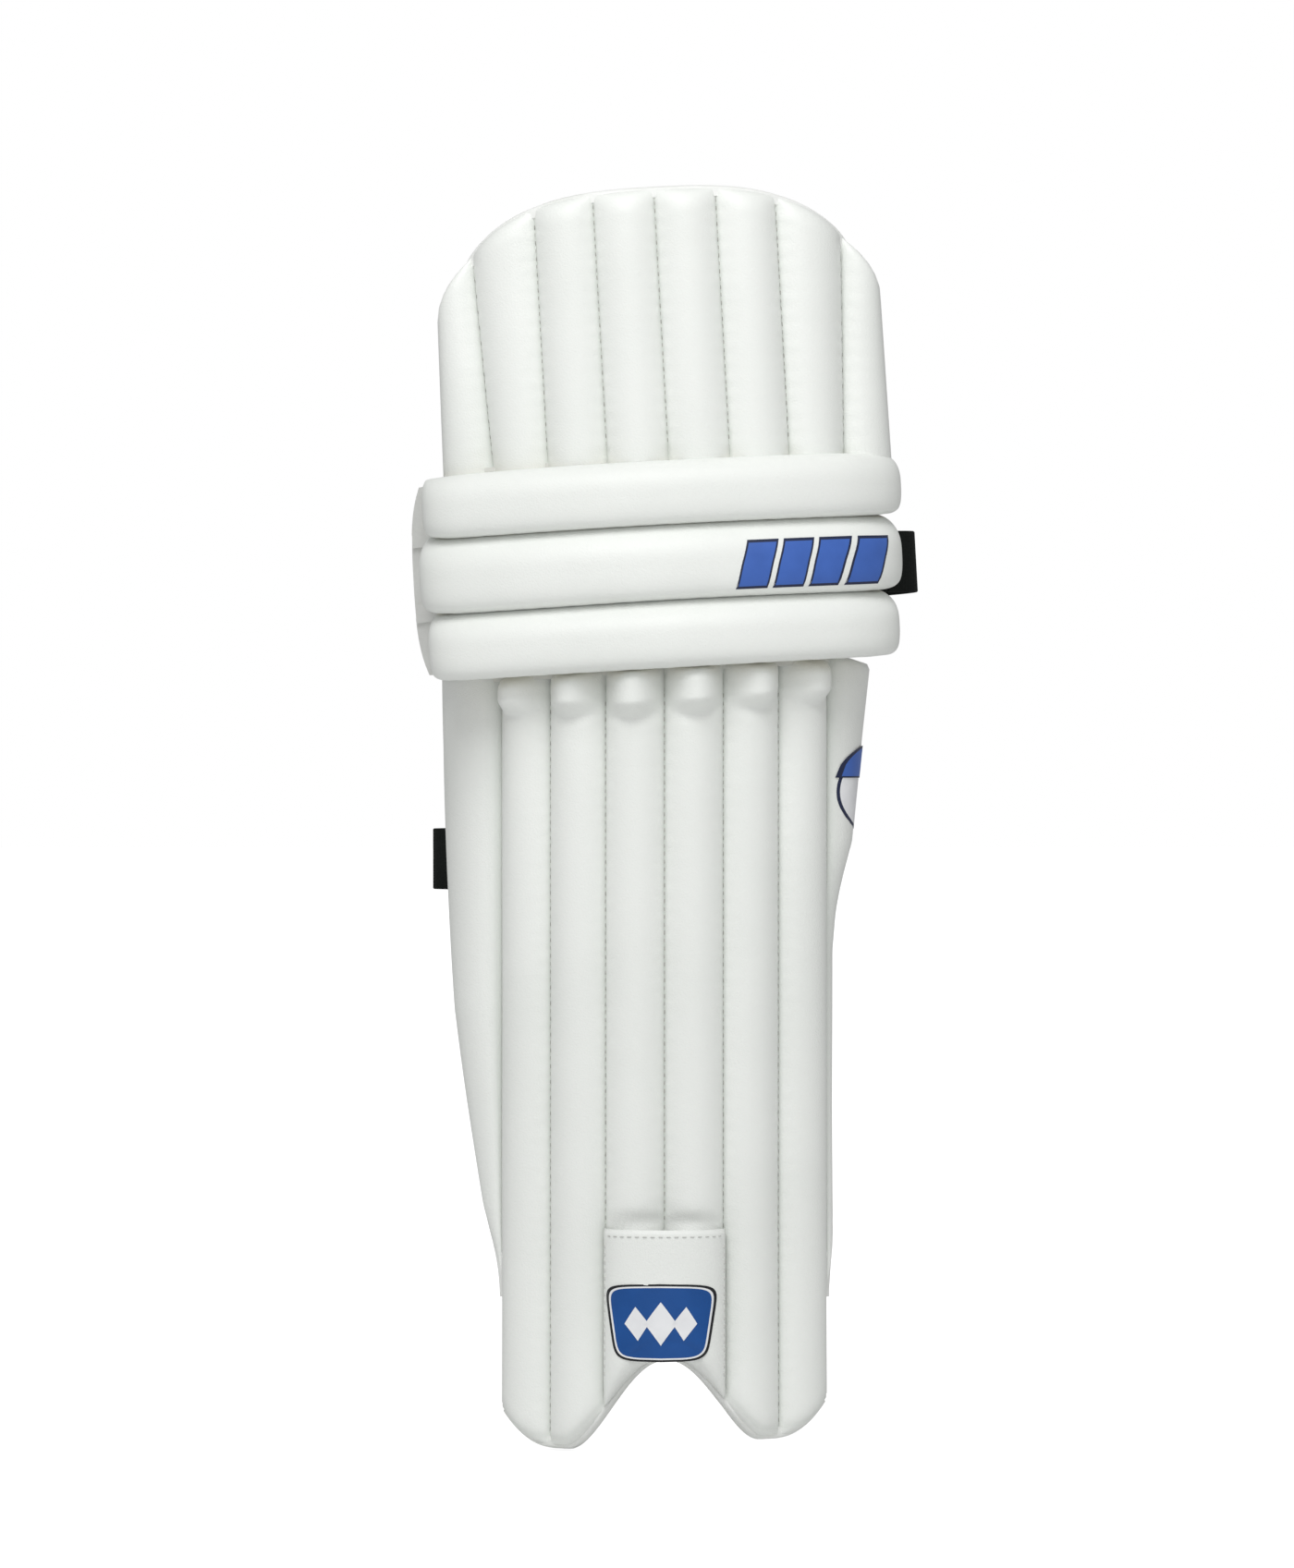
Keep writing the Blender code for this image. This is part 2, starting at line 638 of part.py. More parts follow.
def build_top_hat(stuff, parent):
    def inner(q, low, high):
        return hat_outer(q, low, high) - COVER_THICK

    hat_layer("top_hat_cover", hat_outer, inner, stuff["leather"], parent, HAT_ROWS, hat_columns())
    rows = (0.0, 0.5, 1.0)
    columns = hat_columns()
    hat_layer("top_hat_wadding", level(0.0), level(WADDING_BACK), stuff["wadding"], parent,
              rows, columns, HAT_INSET)
    hat_layer("top_hat_lining", level(LINING_FRONT), level(LINING_BACK), stuff["lining"], parent,
              rows, columns, HAT_INSET)
    for index in range(HAT_CHANNELS):
        centre = index - HAT_CHANNELS // 2 + 0.5
        columns = [centre + f / 2 for f in CHANNEL_STEPS[1:-1]]

        def core(q, low, high, centre=centre):
            ends = end_dome(low, HAT_FOOT_DOME) * end_dome(high, HAT_HEAD_DOME)
            full = HAT_CREST * arch(2.0 * (q - centre)) * ends
            return max(CORE_BACK + CORE_LEAST, SEAM_HEIGHT + full - COVER_THICK - CORE_CLEAR)
        hat_layer(f"top_hat_cane_{index + 1}", core, level(CORE_BACK), stuff["cane"], parent,
                  HAT_ROWS[2:-2], columns)
    build_hat_binding(stuff, parent)


def build_hat_binding(stuff, parent):
    """Soft leather tape sewn over the crown's edge."""
    rings = []
    for q in hat_columns():
        edge = hat_high(q) + hat_edge_gap(q)
        arc = hat_arc(q, edge)
        ring = [on_hat(arc, edge + rise, offset) for rise, offset in BINDING_SECTION]
        rings.append(ring)
    loft("top_hat_binding", rings, stuff["binding"], parent)


# ---------------------------------------------------------------- straps

def smooth_path(points, per_span=5):
    """Catmull-Rom curve through plan points, with plain end tangents."""
    ends = [points[0] * 2 - points[1]] + points + [points[-1] * 2 - points[-2]]
    path = []
    for k in range(len(points) - 1):
        a, b, c, d = ends[k:k + 4]
        for n in range(per_span):
            t = n / per_span
            path.append(0.5 * (2 * b + (c - a) * t + (2 * a - 5 * b + 4 * c - d) * t ** 2
                               + (3 * b - a - 3 * c + d) * t ** 3))
    path.append(points[-1])
    return path


def ribbon(name, path, first, last, near, far, half, place, material, parent):
    """A flat band along part of a plan path, between two offsets outwards from it."""
    rings = []
    for k in range(first, last + 1):
        ahead = path[min(k + 1, len(path) - 1)] - path[max(k - 1, 0)]
        outward = Vector((ahead.y, -ahead.x)).normalized()
        if outward.dot(path[k] - Vector((0.0, 0.07))) < 0:
            outward = -outward
        low, high = path[k] + outward * near, path[k] + outward * far
        rings.append([place(low, -half), place(high, -half), place(high, half), place(low, half)])
    loft(name, rings, material, parent)


# Plan routes of the straps round the back of the leg, from the sewn end of the long strap to the
# sewn end of the short one. The knee strap starts on the right, the other two on the left.
STRAP_ROUTES = {
    "knee": ((0.1272, 0.0600), (0.1402, 0.0860), (0.1310, 0.1180), (0.0960, 0.1480),
             (0.0450, 0.1620), (0.0000, 0.1640), (-0.0500, 0.1600), (-0.0930, 0.1400),
             (-0.1170, 0.1100), (-0.1250, 0.0740)),
    "calf": ((-0.1194, 0.0880), (-0.1278, 0.1040), (-0.1190, 0.1320), (-0.0890, 0.1540),
             (-0.0450, 0.1640), (0.0000, 0.1650), (0.0400, 0.1600), (0.0720, 0.1450),
             (0.0890, 0.1200), (0.0915, 0.1010)),
    "ankle": ((-0.0840, 0.0580), (-0.0860, 0.0780), (-0.0790, 0.1060), (-0.0600, 0.1260),
              (-0.0300, 0.1360), (0.0000, 0.1370), (0.0300, 0.1340), (0.0590, 0.1210),
              (0.0760, 0.0960), (0.0800, 0.0660)),
}
STRAP_HEIGHTS = {"knee": 0.0505, "calf": 0.3196, "ankle": 0.1450}
LONG_END = 33              # last path point of the long strap
SHORT_START = 24           # first path point of the short strap


def strap_place(label):
    height = STRAP_HEIGHTS[label]
    if label == "knee":
        return lambda point, v: on_tilted(point.x, point.y, height + v, KNEE_ORIGIN)
    return lambda point, v: Vector((point.x, point.y, height + v))


def build_strap(label, stuff, fixed, moving):
    """Long webbing strap with its hook patch, closing over a short strap with a loop patch."""
    path = smooth_path([Vector(p) for p in STRAP_ROUTES[label]])
    place = strap_place(label)
    hook_far = -STRAP_GAP
    hook_near = hook_far - PATCH
    loop_far = hook_near - STRAP_GAP
    loop_near = loop_far - PATCH
    short_far = loop_near - STRAP_GAP
    short_near = short_far - WEBBING
    end = len(path) - 1
    ribbon(f"{label}_strap", path, 0, LONG_END, 0.0, WEBBING, STRAP_HALF, place,
           stuff["webbing"], moving)
    ribbon(f"{label}_hook_patch", path, SHORT_START + 1, LONG_END - 1, hook_near, hook_far,
           STRAP_HALF - 0.002, place, stuff["hook"], moving)
    ribbon(f"{label}_loop_patch", path, SHORT_START + 1, LONG_END + 3, loop_near, loop_far,
           STRAP_HALF - 0.002, place, stuff["loop"], fixed)
    ribbon(f"{label}_loop_strap", path, SHORT_START, end, short_near, short_far, STRAP_HALF, place,
           stuff["webbing"], fixed)


# ---------------------------------------------------------------- assembly

def make_stuff():
    return {
        "leather": make_material("white_leathercloth", (0.84, 0.85, 0.82), 0.42),
        "binding": make_material("white_binding", (0.86, 0.87, 0.85), 0.50),
        "lining": make_material("white_lining_cloth", (0.72, 0.73, 0.71), 0.85),
        "wadding": make_material("cotton_wadding", (0.80, 0.78, 0.72), 0.95),
        "foam": make_material("high_density_foam", (0.75, 0.73, 0.66), 0.90),
        "cane": make_material("cane_rod", (0.52, 0.36, 0.19), 0.55),
        "badge": make_material("blue_badge", (0.017, 0.072, 0.30), 0.35),
        "webbing": make_material("black_webbing", (0.008, 0.010, 0.009), 0.75),
        "hook": make_material("hook_tape", (0.012, 0.012, 0.013), 0.85),
        "loop": make_material("loop_tape", (0.015, 0.015, 0.016), 0.95),
    }


def knee_pivots(root):
    """One empty on each seam hinge, chained from the shin up to the top hat."""
    across = Vector((math.cos(TILT), 0.0, math.sin(TILT)))
    pivots = []
    parent = root
    for line, label in zip(ROLL_LINES, ROLL_NAMES + ("top_hat",)):
        point = on_tilted(0.0, HINGE_Y, line, KNEE_ORIGIN)
        parent = make_pivot(f"pivot_{label}", point, across, parent)
        pivots.append(parent)
    return pivots


def strap_pivot(label, parent):
    """An empty on the stitched end of a long strap, where it swings open."""
    start = Vector(STRAP_ROUTES[label][0])
    place = strap_place(label)
    axis = (place(start, 0.01) - place(start, 0.0)).normalized()
    return make_pivot(f"pivot_{label}_strap", place(start, 0.0), axis, parent)


def main():
    clear_scene()
    stuff = make_stuff()
    root = make_pivot("pad_root", Vector((0.0, 0.0, 0.0)), Vector((0.0, 0.0, 1.0)), None)
    build_shin(stuff, root)
    build_instep(stuff, root)
    build_wing(-1, "left", stuff, root)
    build_wing(1, "right", stuff, root)
    build_bolsters(stuff, root)
    pivots = knee_pivots(root)
    for index in range(len(ROLL_NAMES)):
        build_knee_roll(index, stuff, pivots[index])
    build_top_hat(stuff, pivots[-1])
    for label, fixed in (("knee", pivots[1]), ("calf", root), ("ankle", root)):
        build_strap(label, stuff, fixed, strap_pivot(label, fixed))


main()
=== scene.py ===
import json
import math

import bmesh
import bpy
import numpy as np
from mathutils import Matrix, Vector


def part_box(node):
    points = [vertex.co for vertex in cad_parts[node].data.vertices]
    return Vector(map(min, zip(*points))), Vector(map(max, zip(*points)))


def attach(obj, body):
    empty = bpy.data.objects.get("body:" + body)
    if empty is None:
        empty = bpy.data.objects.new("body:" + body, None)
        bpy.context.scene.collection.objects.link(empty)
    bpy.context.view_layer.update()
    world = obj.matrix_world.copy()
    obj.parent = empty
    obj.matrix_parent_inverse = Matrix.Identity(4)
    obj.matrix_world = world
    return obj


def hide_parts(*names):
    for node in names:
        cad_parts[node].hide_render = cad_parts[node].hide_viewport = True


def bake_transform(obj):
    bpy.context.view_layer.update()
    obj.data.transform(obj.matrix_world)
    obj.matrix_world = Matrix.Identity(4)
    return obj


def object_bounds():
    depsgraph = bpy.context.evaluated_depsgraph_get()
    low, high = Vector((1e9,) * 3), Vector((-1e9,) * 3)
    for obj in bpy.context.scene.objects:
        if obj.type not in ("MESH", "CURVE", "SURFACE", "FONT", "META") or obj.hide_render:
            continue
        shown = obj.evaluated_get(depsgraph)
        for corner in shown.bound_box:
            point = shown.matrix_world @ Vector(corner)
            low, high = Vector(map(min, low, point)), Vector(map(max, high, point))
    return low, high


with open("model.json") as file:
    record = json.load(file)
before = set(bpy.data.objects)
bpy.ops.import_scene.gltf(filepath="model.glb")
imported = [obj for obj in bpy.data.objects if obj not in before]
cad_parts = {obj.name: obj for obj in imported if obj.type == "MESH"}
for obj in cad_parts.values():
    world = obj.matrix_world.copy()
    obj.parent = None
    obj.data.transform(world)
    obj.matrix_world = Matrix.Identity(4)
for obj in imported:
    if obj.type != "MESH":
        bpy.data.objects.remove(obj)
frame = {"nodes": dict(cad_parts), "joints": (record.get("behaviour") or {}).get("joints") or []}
cad_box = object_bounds()


# ---- Shin cover -------------------------------------------------------------------------------
# The white leathercloth face of the shin: one panel sewn down in six upright channels over the
# cane rods. Knuckle pads puff the channel heads below the knee, and the sheet pulls in tight and
# puckers along every stitched seam.

SHIN_RADIUS = 0.130
SHIN_PITCH = 0.032
SHIN_EDGE = 3 * SHIN_PITCH
SHIN_CREST = 0.0088
SEAM_HEIGHT = 0.0018
SEAM_WIDTH = 0.0009
PUCKER_PITCH = 0.0088
LEATHER_THICK = 0.0011
WING_RADIUS_LEFT = 0.072
WING_RADIUS_TOP_RIGHT = 0.043
WING_RADIUS_LEAST = 0.006
INSTEP_HEIGHT = 0.120
INSTEP_KICK = 0.012
FOOT_CLEAR = 0.0020
NOTCH_HALF = 0.052
NOTCH_RISE = 0.048
TOE_START = 0.060
TOE_REACH = 0.031
TOE_RISE = 0.024
RIGHT_FOOT_SHORT = 0.005
HEAD_SLOPE = 0.0095
HEAD_CREASE = 0.0011
PATCH_PRESS = 0.0032
PATCH_FOLD = 0.1238
TURN_LIMIT = 1.60
HEAD_RISE = 0.0104
HEAD_LENGTHS = (0.0245, 0.0265, 0.0290, 0.0285, 0.0270, 0.0260)

first_fold = frame["joints"][0]
TILT = math.atan2(-first_fold["axis"][2], -first_fold["axis"][0])
KNEE_ORIGIN = np.array([first_fold["pos_m"][0], 0.0, first_fold["pos_m"][2]])
SHIN_TOP = KNEE_ORIGIN[2] - 0.0006


def bend(arc, radius, flat, side_radius):
    """Plan position and turned angle after walking an arc length round the pad's section."""
    walked = np.abs(arc)
    start = flat / radius
    turn = np.clip(walked - flat, 0.0, side_radius * (TURN_LIMIT - start))
    front = np.minimum(walked, flat) / radius
    angle = front + turn / side_radius
    rest = np.maximum(walked - flat - turn, 0.0)
    x = radius * np.sin(front) + side_radius * (np.sin(angle) - np.sin(front)) + rest * np.cos(angle)
    y = radius * (1 - np.cos(front)) + side_radius * (np.cos(front) - np.cos(angle))
    return x, y + rest * np.sin(angle), angle


def lifted(arc, lift, radius, flat, left_radius, right_radius):
    """Plan position of a point lifted off the sewing plane."""
    side = np.where(arc < 0, -1.0, 1.0)
    x, y, angle = bend(arc, radius, flat, np.where(arc < 0, left_radius, right_radius))
    return side * (x + lift * np.sin(angle)), y - lift * np.cos(angle)


def on_shin(arc, z, lift):
    """World point on the shin; below 12 cm the panel curves forwards over the instep."""
    arc, z, lift = np.broadcast_arrays(np.asarray(arc, float), z, lift)
    right = np.maximum(WING_RADIUS_LEAST, 0.24 * (z - 0.245))
    x, y = lifted(arc, lift, SHIN_RADIUS, SHIN_EDGE, WING_RADIUS_LEFT, right)
    kick = INSTEP_KICK * np.maximum(0.0, 1.0 - z / INSTEP_HEIGHT) ** 2
    return np.stack((x, y - kick, z), axis=-1)


def arch(x, power=2.0):
    """A rounded rise from 0 at -1 to 1 in the middle and back to 0 at 1."""
    return np.sqrt(np.maximum(0.0, 1.0 - np.abs(x) ** power))


def end_dome(distance, reach):
    """Rounds a stuffed piece down to nothing over its last `reach` metres."""
    return arch(1.0 - np.clip(distance / reach, 0.0, 1.0))


def smooth(x):
    x = np.clip(x, 0.0, 1.0)
    return x * x * (3 - 2 * x)


def ripple(a, b, seed):
    """Gentle unevenness of stuffed cloth, between -1 and 1."""
    rng = np.random.default_rng(seed)
    total = np.zeros(np.broadcast(a, b).shape)
    for _ in range(6):
        ka, kb = rng.uniform(-70, 70), rng.uniform(-45, 45)
        total = total + np.sin(ka * a + kb * b + rng.uniform(0, 6.283))
    return total / 6


def shin_low(arc):
    """The feet and the instep notch; the right foot is the shorter one."""
    x = SHIN_RADIUS * np.sin(np.minimum(np.abs(arc), SHIN_EDGE + 0.001) / SHIN_RADIUS)
    notch = (0.5 + 0.5 * np.cos(np.pi * np.minimum(x / NOTCH_HALF, 1.0))) ** 0.75
    corner = np.maximum(0.0, (x - TOE_START) / TOE_REACH) ** 2.2
    short = np.where(arc > 0, RIGHT_FOOT_SHORT * np.minimum(1.0, x / 0.035), 0.0)
    return FOOT_CLEAR + NOTCH_RISE * notch + TOE_RISE * corner + short


def shin_high(arc):
    """The sewn line under the lowest roll, which slopes as the knee does."""
    x, _ = lifted(arc, 0.0, SHIN_RADIUS, SHIN_EDGE, WING_RADIUS_LEFT, WING_RADIUS_TOP_RIGHT)
    return SHIN_TOP + x * math.tan(TILT)


def channel_columns(count, steps=(-1, -0.975, -0.94, -0.88, -0.78, -0.62, -0.42, -0.2)):
    """Mesh columns across `count` channels, closest together at the seams."""
    half = list(steps) + [0.0] + [-s for s in reversed(steps)]
    whole = [i + 0.5 + s / 2 for i in range(count) for s in half[:-1]]
    return np.array(whole + [count])


def stuffed(across):
    """Section of a stuffed channel: broad on top, easing down into the seams at -1 and 1."""
    return np.maximum(0.0, 1.0 - np.abs(across) ** 2.2) ** 0.88


def shin_face(arc, z):
    """Lift of the cover's face, and how much to darken its colour (0 to 1): painted shade in the seams,
    and a darker line just inside the feet tape.

    Each channel swells into a head under the knee, with a crease below it, and is pressed down
    where the instep patch is folded under.
    """
    low, high = shin_low(arc), shin_high(arc)
    cell = np.clip(np.floor((arc + SHIN_EDGE) / SHIN_PITCH), 0, 5).astype(int)
    across = 2 * (arc + SHIN_EDGE - (cell + 0.5) * SHIN_PITCH) / SHIN_PITCH
    dome = stuffed(across)
    reach = np.take(HEAD_LENGTHS, cell) * (0.62 + 0.38 * arch(across, 2.4))
    past = reach - (high - z)
    head = smooth(past / HEAD_SLOPE) ** 0.8
    crease = np.exp(-((past + 0.0010) / 0.0034) ** 2)
    crest = SHIN_CREST + HEAD_RISE * head * dome - HEAD_CREASE * crease
    crest = crest + 0.0006 * ripple(arc, z, 3)
    lift = crest * dome * end_dome(z - low, 0.014) * end_dome(high - z, 0.010)
    seam = np.exp(-((1 - np.abs(across)) * SHIN_PITCH / 2 / SEAM_WIDTH) ** 2)
    inner = (np.abs(arc) < SHIN_EDGE - 0.004) * 1.0
    pucker = np.sin(z * 2 * np.pi / PUCKER_PITCH + cell * 1.7)
    pucker = pucker * np.exp(-((1 - np.abs(across)) / 0.28) ** 2)
    press = np.exp(-((z - PATCH_FOLD) / 0.0046) ** 2) * (np.abs(arc) < SHIN_PITCH)
    press = press * arch(arc / SHIN_PITCH, 4)
    lift = lift + 0.00020 * pucker * inner - 0.0006 * seam * inner - PATCH_PRESS * press * dome
    foot = 0.55 * np.exp(-((z - low - 0.0045) / 0.0022) ** 2)
    # the second value paints shade along the seams and darkens a line just inside the feet tape
    return SEAM_HEIGHT + lift, np.maximum(seam * inner * 0.8, foot)


def soft_object(name, vertices, faces, material, body=None):
    """A smooth-shaded object that rides on a body of the pad."""
    mesh = bpy.data.meshes.new(name)
    mesh.from_pydata(vertices, [], faces)
    mesh.validate()
    builder = bmesh.new()
    builder.from_mesh(mesh)
    bmesh.ops.recalc_face_normals(builder, faces=builder.faces)
    builder.to_mesh(mesh)
    builder.free()
    mesh.materials.append(material)
    mesh.shade_smooth()
    mesh.set_sharp_from_angle(angle=math.radians(50))
    piece = bpy.data.objects.new(name, mesh)
    bpy.context.scene.collection.objects.link(piece)
    if body:
        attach(piece, body)
    return piece


def shell(name, front, back, material, body=None, seam_shade=None):
    """A closed sheet between two grids; the last argument marks how close each front point is to a seam,
    kept as the seam attribute by which the leathercloth paints shade into the seams.
    """
    rows, columns = front.shape[:2]
    vertices = np.concatenate((front.reshape(-1, 3), back.reshape(-1, 3))).tolist()
    half = rows * columns
    index = np.arange(half).reshape(rows, columns)
    quads = np.stack((index[:-1, :-1], index[:-1, 1:], index[1:, 1:], index[1:, :-1]), axis=-1)
    quads = quads.reshape(-1, 4)
    rim = np.concatenate((index[0, :-1], index[:-1, -1], index[-1, :0:-1], index[:0:-1, 0]))
    following = np.roll(rim, -1)
    sides = np.stack((rim, following, following + half, rim + half), axis=-1)
    faces = np.concatenate((quads, quads[:, ::-1] + half, sides)).tolist()
    piece = soft_object(name, vertices, faces, material, body)
    painted_shade = np.zeros(2 * half, np.float32)
    if seam_shade is not None:
        painted_shade[:half] = np.broadcast_to(seam_shade, (rows, columns)).ravel()
    piece.data.attributes.new("seam", "FLOAT", "POINT").data.foreach_set("value", painted_shade)
    return piece


def declare(stands_for):
    """A stuffed piece takes the place of a plain one, which is hidden."""
    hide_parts(stands_for)


def noise_on(nodes, link, place, scale, detail=2.0):
    """Noise in the piece's own coordinates."""
    noise = nodes.new("ShaderNodeTexNoise")
    noise.inputs["Scale"].default_value = scale
    noise.inputs["Detail"].default_value = detail
    link(place.outputs["Object"], noise.inputs["Vector"])
    return noise.outputs["Fac"]


def ranged(nodes, link, value, limits):
    """A value spread over new limits."""
    spread = nodes.new("ShaderNodeMapRange")
    for name, limit in limits.items():
        spread.inputs[name].default_value = limit
    link(value, spread.inputs["Value"])
    return spread.outputs["Result"]


def scaled_sum(nodes, link, value, scale, added, clamp=False):
    """value x scale + added."""
    total = nodes.new("ShaderNodeMath")
    total.operation = "MULTIPLY_ADD"
    total.use_clamp = clamp
    total.inputs[1].default_value = scale
    link(value, total.inputs[0])
    link(added, total.inputs[2])
    return total.outputs["Value"]


def colour_mix(nodes, link, factor, first, second):
    """Two colours mixed by a factor; each is a fixed colour or a socket to read."""
    mix = nodes.new("ShaderNodeMix")
    mix.data_type = "RGBA"
    link(factor, mix.inputs["Factor"])
    for socket, colour in (("A", first), ("B", second)):
        if isinstance(colour, tuple):
            mix.inputs[socket].default_value = colour
        else:
            link(colour, mix.inputs[socket])
    return mix.outputs["Result"]


def finish_group(name, inputs):
    """An empty finish: clean and darker colours and `inputs` go in, a surface comes out."""
    group = bpy.data.node_groups.new(name, "ShaderNodeTree")
    sockets = [("Clean", "Color", (0.8, 0.8, 0.8, 1)), ("Soiled", "Color", (0.5, 0.5, 0.5, 1))]
    for label, kind, value in sockets + [(label, "Float", value) for label, value in inputs]:
        socket = group.interface.new_socket(name=label, in_out="INPUT", socket_type=f"NodeSocket{kind}")
        socket.default_value = value
    for label, kind in (("Colour", "Color"), ("Height", "Float"), ("Roughness", "Float")):
        group.interface.new_socket(name=label, in_out="OUTPUT", socket_type=f"NodeSocket{kind}")
    nodes = group.nodes
    given, result = nodes.new("NodeGroupInput"), nodes.new("NodeGroupOutput")
    return group, nodes, group.links.new, given, result, nodes.new("ShaderNodeTexCoord")


def grain_group():
    """Leathercloth: pebbled grain height, and white that greys a little in random soiled patches and with
    painted shade in the seams.
    """
    group, nodes, link, given, result, place = finish_group("leathercloth_finish", [("Grain", 900.0)])
    pebble = nodes.new("ShaderNodeTexVoronoi")
    pebble.feature = "SMOOTH_F1"
    link(place.outputs["Object"], pebble.inputs["Vector"])
    link(given.outputs["Grain"], pebble.inputs["Scale"])
    patches = noise_on(nodes, link, place, 9.0, 5.0)
    creases = noise_on(nodes, link, place, 160.0, 3.0)
    seam = nodes.new("ShaderNodeAttribute")
    seam.attribute_name = "seam"
    dirt = ranged(nodes, link, patches, {"From Min": 0.45, "From Max": 0.80, "To Max": 0.16})
    # painted shade: the seam attribute darkens the colour along the seams, added to the random soiled
    # patches
    darkening = scaled_sum(nodes, link, seam.outputs["Fac"], 0.36, dirt, clamp=True)
    colour = colour_mix(nodes, link, darkening, given.outputs["Clean"], given.outputs["Soiled"])
    height = scaled_sum(nodes, link, creases, 0.6, pebble.outputs["Distance"])
    link(colour, result.inputs["Colour"])
    link(height, result.inputs["Height"])
    link(ranged(nodes, link, patches, {"To Min": 0.38, "To Max": 0.58}), result.inputs["Roughness"])
    return group


def blank_material(name):
    """A new material with its nodes, its link function and its Principled shader."""
    material = bpy.data.materials.new(name)
    material.use_nodes = True
    nodes = material.node_tree.nodes
    return material, nodes, material.node_tree.links.new, nodes["Principled BSDF"]


def raise_surface(nodes, link, shader, height, strength, distance):
    """Bump from a height."""
    bump = nodes.new("ShaderNodeBump")
    bump.inputs["Strength"].default_value = strength
    bump.inputs["Distance"].default_value = distance
    link(height, bump.inputs["Height"])
    link(bump.outputs["Normal"], shader.inputs["Normal"])


def finish_material(name, group, values, bump_depth, bump_distance=0.0004, sheen=0.0, gloss=0.5):
    """A Principled material fed by a finish group with its own values."""
    material, nodes, link, shader = blank_material(name)
    finish = nodes.new("ShaderNodeGroup")
    finish.node_tree = group
    for key, value in values.items():
        finish.inputs[key].default_value = value
    link(finish.outputs["Colour"], shader.inputs["Base Color"])
    link(finish.outputs["Roughness"], shader.inputs["Roughness"])
    raise_surface(nodes, link, shader, finish.outputs["Height"], bump_depth, bump_distance)
    shader.inputs["Sheen Weight"].default_value = sheen
    shader.inputs["Specular IOR Level"].default_value = gloss
    return material


leathercloth = grain_group()
WHITE = (0.845, 0.865, 0.835, 1)
# the colour the leathercloth darkens towards, both for soiled patches and for painted shade in the seams
SOIL_AND_SEAM_SHADE = (0.46, 0.50, 0.455, 1)
white_leather = finish_material("white_leathercloth", leathercloth,
                                {"Clean": WHITE, "Soiled": SOIL_AND_SEAM_SHADE, "Grain": 1100.0}, 0.35)

shin_arcs = (channel_columns(6) * SHIN_PITCH - SHIN_EDGE)[None, :]
shin_rows = np.concatenate((np.linspace(0, 0.04, 14)[:-1], np.linspace(0.04, 0.90, 170)[:-1],
                            np.linspace(0.90, 1.0, 44)))[:, None]
shin_z = shin_low(shin_arcs) + shin_rows * (shin_high(shin_arcs) - shin_low(shin_arcs))
face, seam = shin_face(shin_arcs, shin_z)
shin_cover = shell("shin_cover_leather", on_shin(shin_arcs, shin_z, face),
                   on_shin(shin_arcs, shin_z, face - LEATHER_THICK), white_leather, None, seam)
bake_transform(shin_cover)
declare("shin_cover")


# ---- Seam thread ------------------------------------------------------------------------------
# Lockstitch in strong off-white thread, one stitch every 4 mm or so, holding each channel down
# through the wadding. Every run lies in the bottom of its seam and stands just proud of the cloth.

STITCH_PITCH = 0.0043
STITCH_LENGTH = 0.0030
STITCH_RADIUS = 0.00028
STITCH_LIFT = 0.0002
STITCH_SUNK = -0.0003


def thread_material(name, colour):
    """Twisted thread: fine slanting strands over an even colour."""
    material, nodes, link, shader = blank_material(name)
    place = nodes.new("ShaderNodeTexCoord")
    strands = noise_on(nodes, link, place, 700.0)
    shaded = colour_mix(nodes, link, strands, (*[c * 0.72 for c in colour], 1), (*colour, 1))
    link(shaded, shader.inputs["Base Color"])
    shader.inputs["Roughness"].default_value = 0.7
    raise_surface(nodes, link, shader, strands, 0.3, 0.0001)
    return material


# The seam thread is mid-grey, darker than the patch's white thread: off-white thread with the shade of
# the seam bottoms painted into it.
seam_thread = thread_material("seam_thread", (0.43, 0.43, 0.40))
white_thread = thread_material("white_thread", (0.66, 0.67, 0.64))


def stitch_run(path, outward):
    """Vertices and faces of the stitches along one path."""
    steps = np.linalg.norm(np.diff(path, axis=0), axis=1)
    walked = np.concatenate(([0.0], np.cumsum(steps)))
    middles = np.arange(STITCH_PITCH, walked[-1] - STITCH_PITCH / 2, STITCH_PITCH)

    def read(places, values):
        return np.stack([np.interp(places, walked, values[:, k]) for k in range(3)], axis=1)

    centre, normal = read(middles, path), read(middles, outward)
    along = read(middles + 0.001, path) - centre
    along /= np.maximum(np.linalg.norm(along, axis=1, keepdims=True), 1e-9)
    normal /= np.maximum(np.linalg.norm(normal, axis=1, keepdims=True), 1e-9)
    across = np.cross(along, normal)
    half, radius = STITCH_LENGTH / 2, STITCH_RADIUS
    shape = [(-half, 0.0, STITCH_SUNK)]
    for station in (-0.55, 0.55):
        for k in range(6):
            turn = k * math.pi / 3
            shape.append((half * station, radius * math.cos(turn), radius * math.sin(turn) + STITCH_LIFT))
    shape.append((half, 0.0, STITCH_SUNK))
    shape = np.array(shape)
    points = (centre[:, None] + along[:, None] * shape[None, :, :1]
              + across[:, None] * shape[None, :, 1:2] + normal[:, None] * shape[None, :, 2:])
    faces = []
    for k in range(6):
        n = (k + 1) % 6
        faces += [(0, 1 + n, 1 + k), (1 + k, 1 + n, 7 + n, 7 + k), (7 + k, 7 + n, 13)]
    return points.reshape(-1, 3), faces, len(middles), len(shape)


